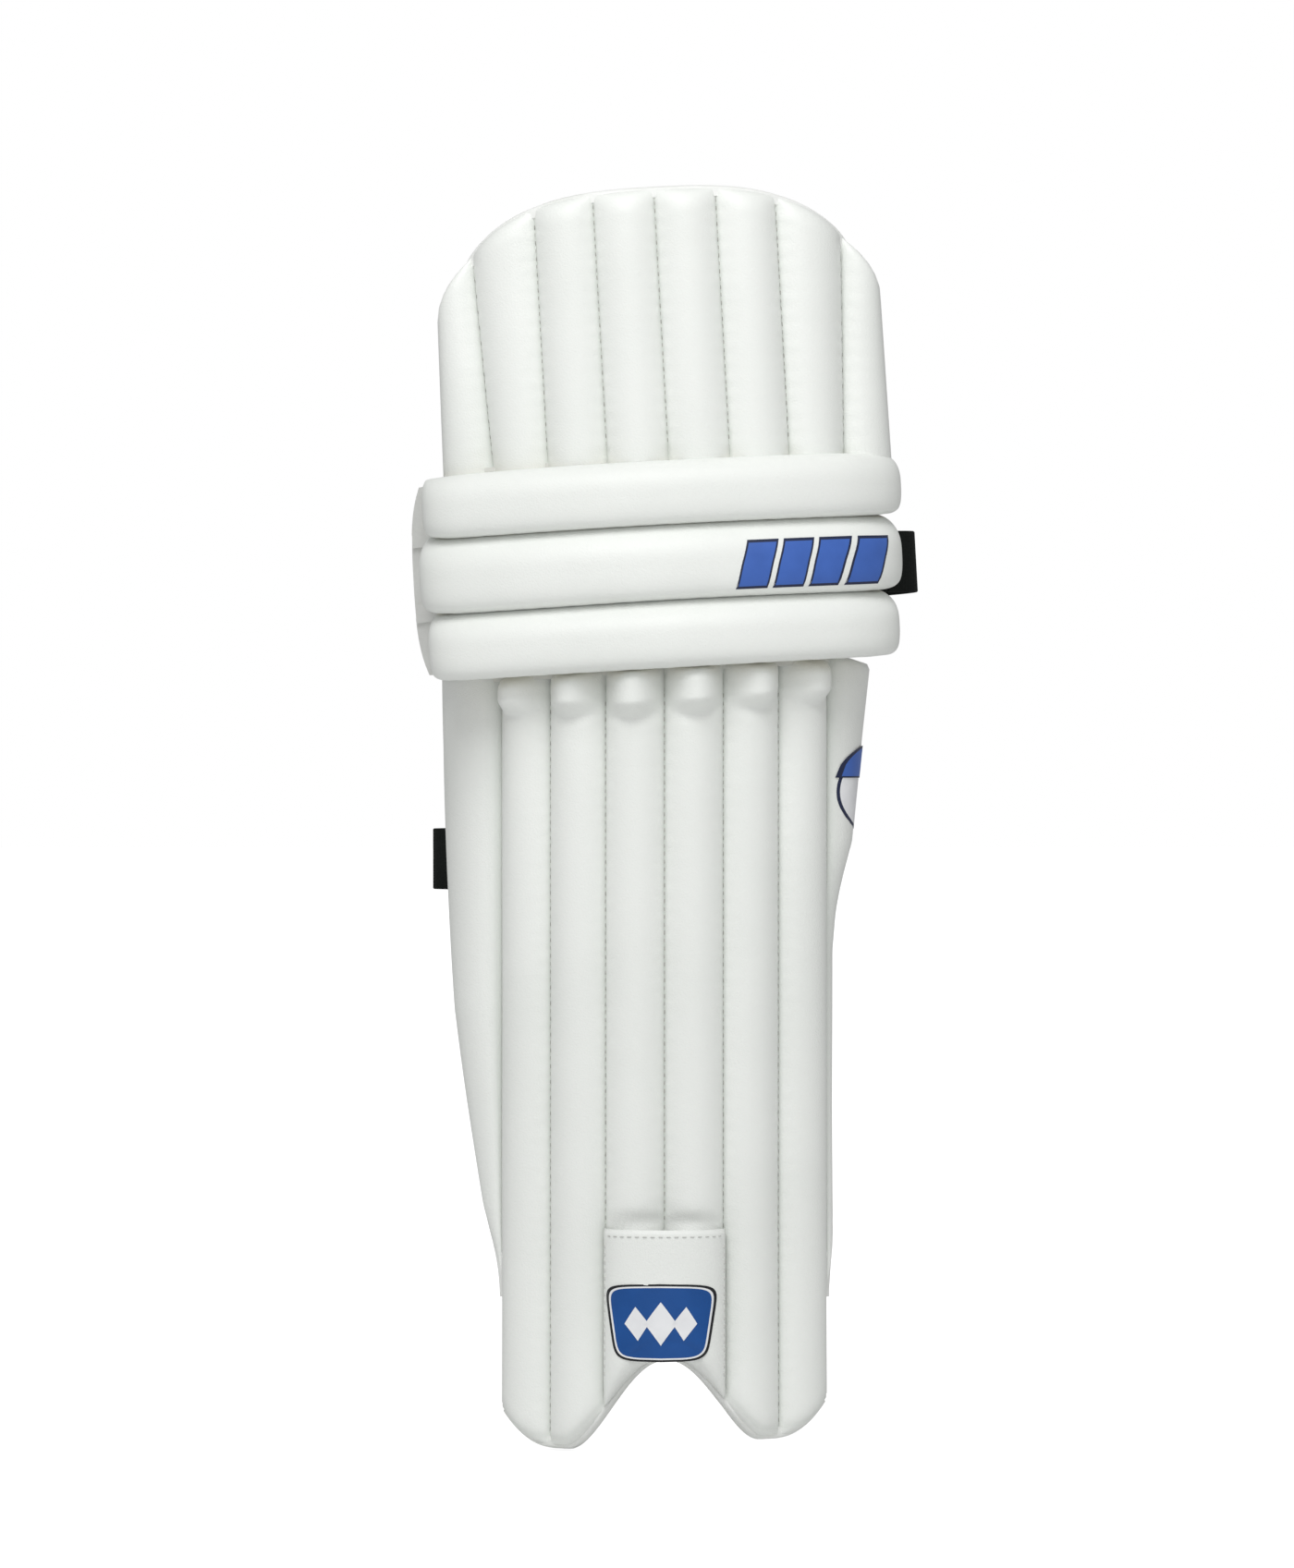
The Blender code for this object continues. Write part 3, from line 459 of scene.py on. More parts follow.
def sew(name, runs, material, body):
    """Joins stitch runs into one piece. Each run is (path, outward)."""
    vertices, faces = [], []
    for path, outward in runs:
        points, pattern, count, size = stitch_run(path, outward)
        for n in range(count):
            start = len(vertices) + n * size
            faces += [tuple(start + i for i in f) for f in pattern]
        vertices += points.tolist()
    piece = soft_object(name, vertices, faces, material, body)
    return piece


def run_on(place, first, second, lift, rise=0.002):
    """A stitch path on a mapped surface, with the direction that points out of it."""
    path = place(first, second, lift)
    return path, place(first, second, np.asarray(lift) + rise) - path


NOTCH_STITCH_START = 0.1215
runs = []
for k in range(7):
    arc = -SHIN_EDGE + k * SHIN_PITCH
    foot = NOTCH_STITCH_START if k == 3 else shin_low(np.array(arc)) + 0.004
    z = np.linspace(foot, shin_high(np.array(arc)) - 0.014, 200)
    lift = 0.0012 if 0 < k < 6 else SEAM_HEIGHT
    runs.append(run_on(on_shin, arc * (1 if 0 < k < 6 else 0.994), z, lift))
sew("shin_seam_stitches", runs, seam_thread, "shin")


# ---- Side wings -------------------------------------------------------------------------------
# A tapered pad of the same leathercloth over foam, sewn to each side of the shin and folded back
# round the calf. The outer wing (left) opens wider; the inner one folds back sharply.

SIDES = ((-1, "left"), (1, "right"))
WING_START = SHIN_EDGE + 0.0004
WING_FOOT = 0.078
WING_POINT = 0.070
WING_SPREAD = 0.23
WING_TUCK = 0.0050
WING_TUCK_RIGHT = 0.0028
WING_CREST_LEFT = 0.0115
WING_FLAT_RIGHT = 0.0014
WING_SWELL_RIGHT = 0.0096
wing_share = np.array([0, 0.02, 0.05, 0.1, 0.17, 0.25, 0.35, 0.5, 0.65, 0.75, 0.83, 0.9, 0.95, 0.98, 1])


def wing_width(z):
    """Width of a wing, drawn in to nothing where it starts above the foot."""
    return WING_SPREAD * (z - WING_POINT) * (0.10 + 0.90 * smooth((z - WING_FOOT) / 0.055))


def wing_grid(side, shares, rows, lift):
    """Points of a wing; lift(share, z, distance below the top) gives the height off its plane."""
    tuck = WING_TUCK if side < 0 else WING_TUCK_RIGHT * (1 - smooth(shares / 0.35)) - 0.0012
    top = shin_high(side * (WING_START + shares * wing_width(SHIN_TOP))) + tuck
    z = WING_FOOT + rows * (top - WING_FOOT)
    arc = side * (WING_START + shares * wing_width(z))
    return on_shin(arc, z, lift(shares, z, top - z))


def wing_crest(side, z):
    """The inner wing is flat towards the ankle and plump at the calf."""
    if side < 0:
        return np.minimum(WING_CREST_LEFT, 0.30 * wing_width(z))
    plump = WING_FLAT_RIGHT + WING_SWELL_RIGHT * smooth((z - 0.285) / 0.070)
    return np.minimum(plump, 0.12 * wing_width(z) + 0.001)


def wing_face(side, share, z, below):
    """Lift of a wing's face, `below` metres under its top edge."""
    crest = wing_crest(side, z) + 0.0007 * ripple(share * 0.08, z, 11)
    foot = smooth((z - WING_FOOT) / 0.020)
    sewn = SEAM_HEIGHT * (0.6 + 0.4 * foot)
    return sewn + crest * foot * arch(2 * share - 1, 2.2) * end_dome(below, 0.006)


for side, label in SIDES:
    shares, rows = wing_share[None, :], np.linspace(0, 1, 120)[:, None]
    front = wing_grid(side, shares, rows, lambda s, z, b: wing_face(side, s, z, b))
    back = wing_grid(side, shares, rows, lambda s, z, b: wing_face(side, s, z, b) - LEATHER_THICK)
    # painted shade along the wing's edge where it is sewn to the shin
    edge_shade = np.exp(-(shares / 0.05) ** 2) * np.ones_like(rows)
    wing = shell(f"wing_leather_{label}", front, back, white_leather, "shin", edge_shade)
    declare(f"wing_cover_{label}")


# ---- Knee rolls -------------------------------------------------------------------------------
# Three cross rolls of leathercloth stuffed hard with cotton, one above the other over the knee.
# Each is sewn down between two seams, bulges over them and is gathered in at both ends.

ROLL_RADIUS = 0.220
ROLL_FLAT = 0.090
ROLL_SIDE_RADII = (0.100, 0.060)
ROLL_CREST = 0.0275
ROLL_END_REACH = (0.033, 0.034)
ROLL_HANG = 0.0036
TOP_ROLL_HANG = 0.0048
ROLL_LABELS = ("lower", "middle", "upper")
folds = [np.array(j["pos_m"]) for j in frame["joints"][:4]]
HINGE_Y = folds[0][1]
ROLL_LINES = [float(np.linalg.norm(f - folds[0])) for f in folds]


def on_tilted(x, y, v, origin):
    """Points of the leaning frame (across, depth, up) in world coordinates."""
    x, y, v = np.broadcast_arrays(x, y, v)
    across = x * math.cos(TILT) - v * math.sin(TILT)
    up = x * math.sin(TILT) + v * math.cos(TILT)
    return np.stack((origin[0] + across, origin[1] + y, origin[2] + up), axis=-1)


def knee_plan(arc, lift):
    return lifted(np.asarray(arc, float), lift, ROLL_RADIUS, ROLL_FLAT, *ROLL_SIDE_RADII)


def on_knee(arc, v, lift):
    x, y = knee_plan(arc, lift)
    return on_tilted(x, y, v, KNEE_ORIGIN)


ROLL_ENDS = ((-0.1270, 0.1330), (-0.1305, 0.1385), (-0.1265, 0.1420))
ROLL_SAG = 0.0052


def roll_crest(arc, index):
    """Height of a roll, drawn in at its ends over the last few centimetres."""
    left, right = ROLL_ENDS[index]
    near, far = ROLL_END_REACH
    over = np.where(arc < 0, (arc - left - near) / -near, (arc - right + far) / far)
    return ROLL_CREST * arch(np.clip(over, 0.0, 1.0), 2.6)


def roll_face(arc, step, index):
    """Lift of a roll at `step` across it (-1 to 1), and its nearness to a seam, which paints shade into
    the roll's seams.
    """
    uneven = 0.0009 * ripple(arc * 0.8, step * 0.01, index + 1)
    gathers = np.sin(arc * 2 * np.pi / 0.013 + index) * np.exp(-((1 - np.abs(step)) / 0.16) ** 2)
    section = np.maximum(0.0, 1.0 - np.abs(step) ** 3.0) ** 0.42
    crest = roll_crest(arc, index)
    base = 0.0
    if index == 2:
        base = 0.0075 * smooth(step)
    if index == 0:
        base = 0.0060 * smooth(-step)
    base = base * np.minimum(1.0, crest / ROLL_CREST * 2)
    lift = base + (crest + uneven - base) * section + 0.00030 * gathers
    seam = np.exp(-((1 - np.abs(step)) / 0.020) ** 2)
    return SEAM_HEIGHT + lift, seam


def roll_line(index, arc):
    """The sewn line under or over a roll wanders a little, as hand-guided stitching does."""
    wander = 0.0007 * ripple(arc * 0.5, 0.0 * arc, 40 + index)
    return ROLL_LINES[index] + wander


roll_steps = (np.sin(np.linspace(-1, 1, 45) * np.pi / 2) * 0.999)[:, None]


def roll_arcs(index):
    """Columns along a roll, closest together at its rounded ends."""
    left, right = ROLL_ENDS[index]
    ends = 0.036 * (1 - np.cos(np.linspace(0, 1, 22) * np.pi / 2))
    middle = np.linspace(left + 0.036, right - 0.036, 96)[1:-1]
    return np.concatenate((left + ends, middle, right - ends[::-1]))[None, :]


def side_relief(arc):
    """Room for the fold beside the hinge line, where the ends of the rolls close up."""
    _, y = knee_plan(arc, 0.0)
    return 0.0003 + 0.045 * np.maximum(0.0, y + 0.008 - HINGE_Y)


def roll_place(index, arc, step, lift=0.0):
    """Height up the leaning frame of a point across one roll.

    The bulge hangs over the seam below. The top roll's upper half stands up against the top hat,
    and the lowest roll keeps clear of the shin at its ends.
    """
    low, high = roll_line(index, arc), roll_line(index + 1, arc)
    gap = side_relief(arc)
    hang = ROLL_SAG * ((lift / ROLL_CREST) ** 2 - 0.2)
    hang = hang + ROLL_HANG * smooth(lift / ROLL_CREST / 0.7) * smooth(-1.5 * step)
    if index == 2:
        hang = hang - (TOP_ROLL_HANG * smooth((step + 1) / 2)) * (lift / ROLL_CREST)
    if index == 0:
        hang = hang + (0.8 * gap - 0.0010) * smooth(-step) * (lift / ROLL_CREST)
    return (low + high) / 2 + step * ((high - low) / 2 - gap) - hang


for index, label in enumerate(ROLL_LABELS):
    arcs = roll_arcs(index)
    face, seam = roll_face(arcs, roll_steps, index)
    height = roll_place(index, arcs, roll_steps, face)
    front = on_knee(arcs, height, face)
    back = on_knee(arcs, height, face - LEATHER_THICK)
    roll = shell(f"knee_roll_leather_{label}", front, back, white_leather, f"knee_roll_{label}", seam)
    declare(f"knee_roll_cover_{label}")


# ---- Top hat ----------------------------------------------------------------------------------
# The flap above the knee: eight channels of leathercloth over cane rods, fanning out a little
# towards a round crown. Its side channels turn back round the thigh.

HAT_OFFSET = 0.0105
HAT_RADIUS = 0.200
HAT_FLAT = 0.096
HAT_CREST = 0.0084
HAT_EDGE = 0.134
HAT_SIDE_RADII = (0.050, 0.036)
HAT_SEAM_PITCH = 0.0333
HAT_SIDE_HEIGHT = 0.060
HAT_CROWN_RISE = 0.0895
HAT_TUCK = 0.0030
HAT_SIDE_RISE = 0.0050
HAT_ORIGIN = on_tilted(HAT_OFFSET, 0.0, ROLL_LINES[3], KNEE_ORIGIN)


def on_hat(arc, v, lift):
    x, y = lifted(np.asarray(arc, float), lift, HAT_RADIUS, HAT_FLAT, *HAT_SIDE_RADII)
    return on_tilted(x, y, v, HAT_ORIGIN)


def hat_arc(q, v):
    """Channel coordinate q (whole numbers are seams) to arc length at height v."""
    knots = [0.0 * v, HAT_SEAM_PITCH + 0 * v, 2 * HAT_SEAM_PITCH + 0 * v, 0.099 + 0.05 * v,
             HAT_EDGE - 0.060 * v]
    cell = np.minimum(3, np.floor(np.abs(q))).astype(int)
    low = np.choose(cell, knots[:4])
    high = np.choose(cell, knots[1:])
    share = np.abs(q) - cell
    return np.sign(q) * (low * (1 - share) + high * share)


def hat_high(q):
    """Height of the crown's edge: a round top between two straight sides."""
    edge = hat_arc(np.array(4.0), np.array(0.11)) + 0.002
    share = np.abs(hat_arc(q, 0.11 + 0.0 * q)) / edge
    return HAT_SIDE_HEIGHT + HAT_CROWN_RISE * np.sqrt(np.maximum(0.0, 1 - share ** 3))


def hat_face(q, v):
    """Lift of the top hat's face, and how close the point is to a seam, which paints shade into the
    seams.
    """
    across = 2 * (q - np.floor(q)) - 1
    crest = HAT_CREST + 0.0006 * ripple(q * 0.033, v, 21) + HAT_SIDE_RISE * (np.abs(q) > 3)
    lift = crest * stuffed(across) * end_dome(hat_high(q) - v, 0.013)
    seam = np.exp(-((1 - np.abs(across)) * 0.0167 / SEAM_WIDTH) ** 2)
    pucker = np.sin(v * 2 * np.pi / PUCKER_PITCH + q) * np.exp(-((1 - np.abs(across)) / 0.28) ** 2)
    return SEAM_HEIGHT + lift + 0.00020 * pucker - 0.0006 * seam, seam * 0.8


hat_q = (channel_columns(8) - 4)[None, :]
hat_rows = np.concatenate((np.linspace(0, 0.06, 12)[:-1], np.linspace(0.06, 0.9, 90)[:-1],
                           np.linspace(0.9, 1.0, 24)))[:, None]
hat_v = -HAT_TUCK + hat_rows * (hat_high(hat_q) + HAT_TUCK)
hat_s = hat_arc(hat_q, hat_v)
face, seam = hat_face(np.clip(hat_q, -3.99999, 3.99999), hat_v)
seam = seam * (np.abs(hat_q) < 3.9)
hat = shell("top_hat_leather", on_hat(hat_s, hat_v, face),
            on_hat(hat_s, hat_v, face - LEATHER_THICK), white_leather, None, seam)
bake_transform(hat)
declare("top_hat_cover")

runs = []
for k in range(-3, 4):
    v = np.linspace(0.009, float(hat_high(np.array(float(k)))) - 0.004, 120)
    arcs = hat_arc(np.full_like(v, k), v)
    runs.append(run_on(on_hat, arcs, v, 0.0012))
sew("top_hat_seam_stitches", runs, seam_thread, "top_hat")


# ---- Edge bindings ----------------------------------------------------------------------------
# Folded white tape sewn over every raw edge: round the crown and sides of the top hat, round the
# feet and the instep notch, and down the free edge of each wing.

def tape_group():
    """Fine cross-ribbed tape with a little soiling."""
    group, nodes, link, given, result, place = finish_group(
        "tape_finish", [("Threads", 900.0), ("Rough", 0.8)])
    woven = nodes.new("ShaderNodeMath")
    woven.operation = "MAXIMUM"
    for socket, axis in enumerate(("X", "Z")):
        wave = nodes.new("ShaderNodeTexWave")
        wave.bands_direction = axis
        wave.inputs["Distortion"].default_value = 1.2
        wave.inputs["Detail"].default_value = 1.0
        link(place.outputs["Object"], wave.inputs["Vector"])
        link(given.outputs["Threads"], wave.inputs["Scale"])
        link(wave.outputs["Fac"], woven.inputs[socket])
    fuzz = noise_on(nodes, link, place, 40.0, 8.0)
    darkening = ranged(nodes, link, fuzz, {"From Min": 0.35, "From Max": 0.85})
    colour = colour_mix(nodes, link, darkening, given.outputs["Clean"], given.outputs["Soiled"])
    link(colour, result.inputs["Colour"])
    link(scaled_sum(nodes, link, woven.outputs["Value"], 0.7, fuzz), result.inputs["Height"])
    link(scaled_sum(nodes, link, fuzz, 0.1, given.outputs["Rough"]), result.inputs["Roughness"])
    return group


weave = tape_group()
white_tape = finish_material("white_edge_tape", weave,
                             {"Clean": (0.87, 0.88, 0.86, 1), "Soiled": (0.72, 0.74, 0.70, 1),
                              "Threads": 700.0, "Rough": 0.55}, 0.3, 0.0003)
lining_cloth = finish_material("white_lining_cloth", weave,
                               {"Clean": (0.74, 0.75, 0.72, 1), "Soiled": (0.62, 0.63, 0.60, 1),
                                "Threads": 520.0, "Rough": 0.80}, 0.5, 0.0004, 0.3)


def loft(name, rings, material, body):
    """A closed tube through rings of points (stations x ring points x 3)."""
    stations, around = rings.shape[:2]
    index = np.arange(stations * around).reshape(stations, around)
    following = np.roll(index, -1, axis=1)
    sides = np.stack((index[:-1], following[:-1], following[1:], index[1:]), axis=-1).reshape(-1, 4)
    faces = sides.tolist() + [index[0, ::-1].tolist(), index[-1].tolist()]
    return soft_object(name, rings.reshape(-1, 3).tolist(), faces, material, body)


# A folded tape in section: (distance inside the edge, height off the sewing plane).
TAPE_FRONT = SEAM_HEIGHT + 0.0007
TAPE_BACK = -0.0112


def tape_section(front=TAPE_FRONT, back=TAPE_BACK, wide=0.0046):
    middle, half = (front + back) / 2, (front - back) / 2
    section = [(wide, front - 0.0006), (wide - 0.0004, front)]
    for k in range(9):
        turn = math.pi * k / 8
        section.append((-0.0020 * math.sin(turn) - 0.0002, middle + half * math.cos(turn)))
    return section + [(wide - 0.0004, back), (wide, back + 0.0006)]


def bind(name, edge, inward, across, lift_point, body, section):
    """Tape along an edge.

    edge and inward hold the first surface coordinate and its step inwards at each station;
    across holds the same two for the second coordinate.
    """
    rings = []
    for distance, lift in section:
        rings.append(lift_point(edge + inward * distance, across[0] + across[1] * distance, lift))
    piece = loft(name, np.stack(rings, axis=1), white_tape, body)
    return piece


def edge_normals(first, second):
    """Unit vectors to the left of a path in surface coordinates."""
    step_a, step_b = np.gradient(first), np.gradient(second)
    size = np.maximum(np.hypot(step_a, step_b), 1e-9)
    return -step_b / size, step_a / size


# crown and both side edges of the top hat, walked from low on the right over the top to the left
crown_q = np.concatenate((np.full(30, 4.0), np.linspace(4.0, -4.0, 220)[1:-1], np.full(30, -4.0)))
crown_top = hat_high(crown_q)
CROWN_TAPE_START = 0.18
crown_v = np.concatenate((np.linspace(CROWN_TAPE_START, 1, 30) * crown_top[0], crown_top[30:-30],
                          np.linspace(1, CROWN_TAPE_START, 30) * crown_top[-1]))
crown_s = hat_arc(crown_q, crown_v)
in_s, in_v = edge_normals(crown_s, crown_v)
crown = bind("crown_tape", crown_s, in_s, (crown_v, in_v), on_hat, "top_hat", tape_section())
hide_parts("top_hat_binding")

# the feet and the notch, walked from the left edge to the right
foot_s = np.linspace(-SHIN_EDGE + 0.0016, SHIN_EDGE - 0.0016, 260)
foot_z = shin_low(foot_s)
in_s, in_z = edge_normals(foot_s, foot_z)
feet = bind("feet_tape", foot_s, in_s, (foot_z, in_z), on_shin, "shin", tape_section())
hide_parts("shin_binding")

# both side edges of the shin, behind the wings
WING_TAPE_BACK = -0.0028
SIDE_TAPE_BACK = -0.0104
for side, label in SIDES:
    arc = side * SHIN_EDGE
    low, high = float(shin_low(np.array(arc))) + 0.002, float(shin_high(np.array(arc))) - 0.002
    z = np.linspace(low, high, 120)[:, None]
    start = np.where(z < WING_FOOT - 0.001, 0.0012, WING_TAPE_BACK - 0.0006)
    lift = start + np.linspace(0, 1, 7)[None, :] * (SIDE_TAPE_BACK - start)
    edging = shell(f"shin_side_tape_{label}", on_shin(arc + side * 0.0010, z, lift),
                   on_shin(arc + side * 0.0002, z, lift), white_tape, "shin")

for side, label in SIDES:
    top = float(shin_high(np.array(side * (SHIN_EDGE + wing_width(SHIN_TOP))))) - 0.001
    z = np.linspace(WING_FOOT + 0.002, top, 120)
    if side > 0:
        z = z[::-1]
    arcs = side * (WING_START + wing_width(z))
    in_s, in_z = edge_normals(arcs, z)
    bind(f"wing_tape_{label}", arcs, -in_s, (z, -in_z), on_shin, "shin",
         tape_section(TAPE_FRONT, WING_TAPE_BACK, 0.0040))


# ---- Linings and backings ---------------------------------------------------------------------
# Brushed white cloth quilted to the wadding on the side that lies against the leg. Behind the
# knee rolls each strip of backing is sewn to the next, and that seam is what folds.

LINING_FRONT = -0.0083
LINING_BACK = -0.0098
LINING_PUFF = 0.0022


def quilt(arc, pitch):
    """Pillows of the lining between its quilting lines."""
    return LINING_PUFF * arch(2 * (arc / pitch - np.floor(arc / pitch)) - 1)


rows = np.linspace(0, 1, 90)[:, None]
arcs = np.linspace(-SHIN_EDGE, SHIN_EDGE, 97)[None, :]
z = shin_low(arcs) + 0.0008 + rows * (shin_high(arcs) - shin_low(arcs) - 0.0016)
puff = quilt(arcs, SHIN_PITCH) * end_dome(z - shin_low(arcs), 0.012)
shin_back = shell("shin_lining_cloth", on_shin(arcs, z, LINING_FRONT),
                  on_shin(arcs, z, LINING_BACK - puff), lining_cloth, "shin")
declare("shin_lining")

for side, label in SIDES:
    shares, rows = np.linspace(0, 1, 25)[None, :], np.linspace(0, 1, 90)[:, None]
    front = wing_grid(side, shares, rows, lambda s, z, b: 0.0 * z - 0.0002)
    back = wing_grid(side, shares, rows, lambda s, z, b: -0.0016 - 0.0012 * arch(2 * s - 1) + 0 * z)
    cloth = shell(f"wing_lining_cloth_{label}", front, back, lining_cloth, "shin")
    declare(f"wing_lining_{label}")

q = np.linspace(-4, 4, 129)[None, :]
v = 0.003 + np.linspace(0, 1, 60)[:, None] * (hat_high(q) - 0.005)
arcs = hat_arc(q, v)
puff = quilt(q, 1.0) * end_dome(hat_high(q) - v, 0.012)
hat_back = shell("top_hat_lining_cloth", on_hat(arcs, v, LINING_FRONT),
                 on_hat(arcs, v, LINING_BACK - puff), lining_cloth, "top_hat")
declare("top_hat_lining")


KNEE_MIDDLE = 0.0540
BACKING_LEFT, BACKING_RIGHT = -0.1535, 0.143
BACKING_PUFF = 0.0030


def flap_edge(height):
    """Left edge of the backing, drawn in towards the top and bottom of the knee."""
    return BACKING_LEFT + 0.0115 * np.abs((height - KNEE_MIDDLE) / KNEE_MIDDLE) ** 3


for index, label in enumerate(ROLL_LABELS):
    steps = np.sin(np.linspace(-1, 1, 21) * np.pi / 2)[:, None]
    shares = np.linspace(0, 1, 150)[None, :]
    left = flap_edge((ROLL_LINES[index] + ROLL_LINES[index + 1]) / 2
                     + steps * (ROLL_LINES[index + 1] - ROLL_LINES[index]) / 2)
    flap_arcs = left + shares * (BACKING_RIGHT - left)
    height = roll_place(index, flap_arcs, 0.98 * steps) - ROLL_SAG * 0.2
    puff = BACKING_PUFF * arch(steps, 2.2) * end_dome(0.153 - np.abs(flap_arcs), 0.010)
    band = shell(f"knee_backing_cloth_{label}", on_knee(flap_arcs, height, -0.0002),
                 on_knee(flap_arcs, height, -0.0080 - puff), lining_cloth, f"knee_roll_{label}")
    declare(f"knee_backing_{label}")

# the cloth that joins one band to the next along each fold line
FOLD_SPANS = ((-0.094, 0.094), (-0.1525, 0.140), (-0.1525, 0.140), (-0.111, 0.126))
for k, (left, right) in enumerate(FOLD_SPANS):
    rise = np.linspace(-0.0050, 0.0050, 13)[:, None]
    if 0 < k < 3:
        left = flap_edge(ROLL_LINES[k] + rise) + 0.0030
    arcs = left + np.linspace(0, 1, 100)[None, :] * (right - left)
    front = on_knee(arcs, ROLL_LINES[k] + rise, (0.0014 if k < 3 else -0.0008) + 0 * rise)
    back = on_knee(arcs, ROLL_LINES[k] + rise, -0.0093 + 0 * rise)
    strip = shell(f"fold_cloth_{k + 1}", front, back, lining_cloth)
    middle = np.array(frame["joints"][k]["pos_m"])
    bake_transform(strip)


# ---- Side bolsters ----------------------------------------------------------------------------
# Two upright sausages of lining cloth stuffed with cotton, sewn behind the shin so that the leg
# sits between them. They swell between their ends, so their shape comes from a cloth simulation.

SWELL_LIMIT = 0.0035
SWELL_PRESSURE = 4.0
SWELL_FRAMES = 20
VOXEL = 0.0045
BOLSTER_ARC = 0.056
BOLSTER_BEHIND = 0.0145


def swell(piece):
    """Blows a remeshed pad up as cloth, moving no point further than the swell limit."""
    bpy.context.view_layer.objects.active = piece
    remesh = piece.modifiers.new("remesh", "REMESH")
    remesh.mode = "VOXEL"
    remesh.voxel_size = VOXEL
    bpy.ops.object.modifier_apply(modifier=remesh.name)
    start = np.array([v.co for v in piece.data.vertices])
    cloth = piece.modifiers.new("cloth", "CLOTH")
    cloth.settings.use_pressure = True
    cloth.settings.uniform_pressure_force = SWELL_PRESSURE
    cloth.settings.effector_weights.gravity = 0.0
    scene = bpy.context.scene
    for number in range(1, SWELL_FRAMES + 1):
        scene.frame_set(number)
    depsgraph = bpy.context.evaluated_depsgraph_get()
    moved = np.array([v.co for v in piece.evaluated_get(depsgraph).data.vertices])
    piece.modifiers.remove(cloth)
    scene.frame_set(1)
    step = moved - start
    size = np.linalg.norm(step, axis=1, keepdims=True)
    capped = start + step * np.minimum(1.0, SWELL_LIMIT / np.maximum(size, 1e-9))
    piece.data.vertices.foreach_set("co", capped.astype(np.float32).ravel())
    divide = piece.modifiers.new("subdivide", "SUBSURF")
    divide.levels = divide.render_levels = 1
    bpy.ops.object.modifier_apply(modifier=divide.name)
    piece.data.shade_smooth()


for side, label in SIDES:
    low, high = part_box(f"side_bolster_{label}")
    angle = BOLSTER_ARC / SHIN_RADIUS
    across = np.array([side * math.cos(angle), math.sin(angle), 0.0])
    back = np.array([-side * math.sin(angle), math.cos(angle), 0.0])
    base = np.array([side * SHIN_RADIUS * math.sin(angle), SHIN_RADIUS * (1 - math.cos(angle)), 0])
    base = base + back * BOLSTER_BEHIND
    rings = []
    for z in np.linspace(low.z + 0.004, high.z - 0.004, 40):
        end = min(z - low.z, high.z - z)
        scale = 0.55 + 0.45 * min(1.0, end / 0.014)
        ring = []
        for k in range(20):
            turn = 2 * math.pi * k / 20
            a = 0.0135 * scale * math.copysign(abs(math.cos(turn)) ** 0.7, math.cos(turn))
            b = 0.0090 + 0.0085 * scale * math.copysign(abs(math.sin(turn)) ** 0.7, math.sin(turn))
            ring.append(base + across * a + back * b + np.array([0, 0, z]))
        rings.append(ring)
    bolster = loft(f"bolster_cloth_{label}", np.array(rings), lining_cloth, "shin")
    swell(bolster)
    declare(f"side_bolster_{label}")


# ---- Instep patch and badge -------------------------------------------------------------------
# A plain sheet of leathercloth sewn over the two middle channels above the instep notch, its top
# edge turned under. A printed vinyl badge is fused on: blue field, white line, dark outline and a
# row of plain white lozenges.

PATCH_HALF = 0.0320
PATCH_TOP = 0.1200
PATCH_CREST = 0.0155


def patch_lift(arc, rise):
    """Lift of the patch over the stuffed channels, `rise` metres above its lower edge."""
    body = PATCH_CREST * arch(np.clip(arc / PATCH_HALF, -1, 1), 3.2) * end_dome(rise + 0.0004, 0.016)
    return SEAM_HEIGHT + 0.0014 + body


patch_arcs = (PATCH_HALF * np.sin(np.linspace(-1, 1, 61) * np.pi / 2))[None, :]
low = shin_low(patch_arcs) + 0.0004
rows = np.concatenate((np.linspace(0, 0.2, 14)[:-1], np.linspace(0.2, 0.97, 34), [0.985, 0.995, 1]))
z = low + rows[:, None] * (PATCH_TOP - low)
lift = patch_lift(patch_arcs, z - low) + 0.0010 - 0.0016 * smooth((rows[:, None] - 0.975) / 0.025)
lift = lift + 0.0003 * ripple(patch_arcs, z, 31)
# painted shadow lines along the patch's raised side edges
edge_shade = np.exp(-((PATCH_HALF - np.abs(patch_arcs)) / 0.0010) ** 2) + 0 * z
patch = shell("instep_patch_leather", on_shin(patch_arcs, z, lift),
              on_shin(patch_arcs, z, lift - 0.0012), white_leather, "shin", edge_shade)
declare("instep_patch")


def print_material(name, colour, rough=0.38):
    """Printed vinyl: even ink with a fine orange-peel gloss and slight fading."""
    material, nodes, link, shader = blank_material(name)
    place = nodes.new("ShaderNodeTexCoord")
    faded = (*[c * 0.82 for c in colour], 1)
    fresh = (*[min(1.0, c * 1.22 + 0.004) for c in colour], 1)
    ink = colour_mix(nodes, link, noise_on(nodes, link, place, 55.0, 6.0), faded, fresh)
    link(ink, shader.inputs["Base Color"])
    shader.inputs["Roughness"].default_value = rough
    shader.inputs["Specular IOR Level"].default_value = 0.3
    raise_surface(nodes, link, shader, noise_on(nodes, link, place, 1500.0), 0.15, 0.0001)
    return material


badge_blue = print_material("badge_blue", (0.006, 0.070, 0.275))
badge_dark = print_material("badge_dark", (0.010, 0.011, 0.014))
badge_white = print_material("badge_white", (0.80, 0.81, 0.84))

BADGE_LOW, BADGE_HIGH = 0.0505, 0.0900
BADGE_HALF = (0.0222, 0.0284)


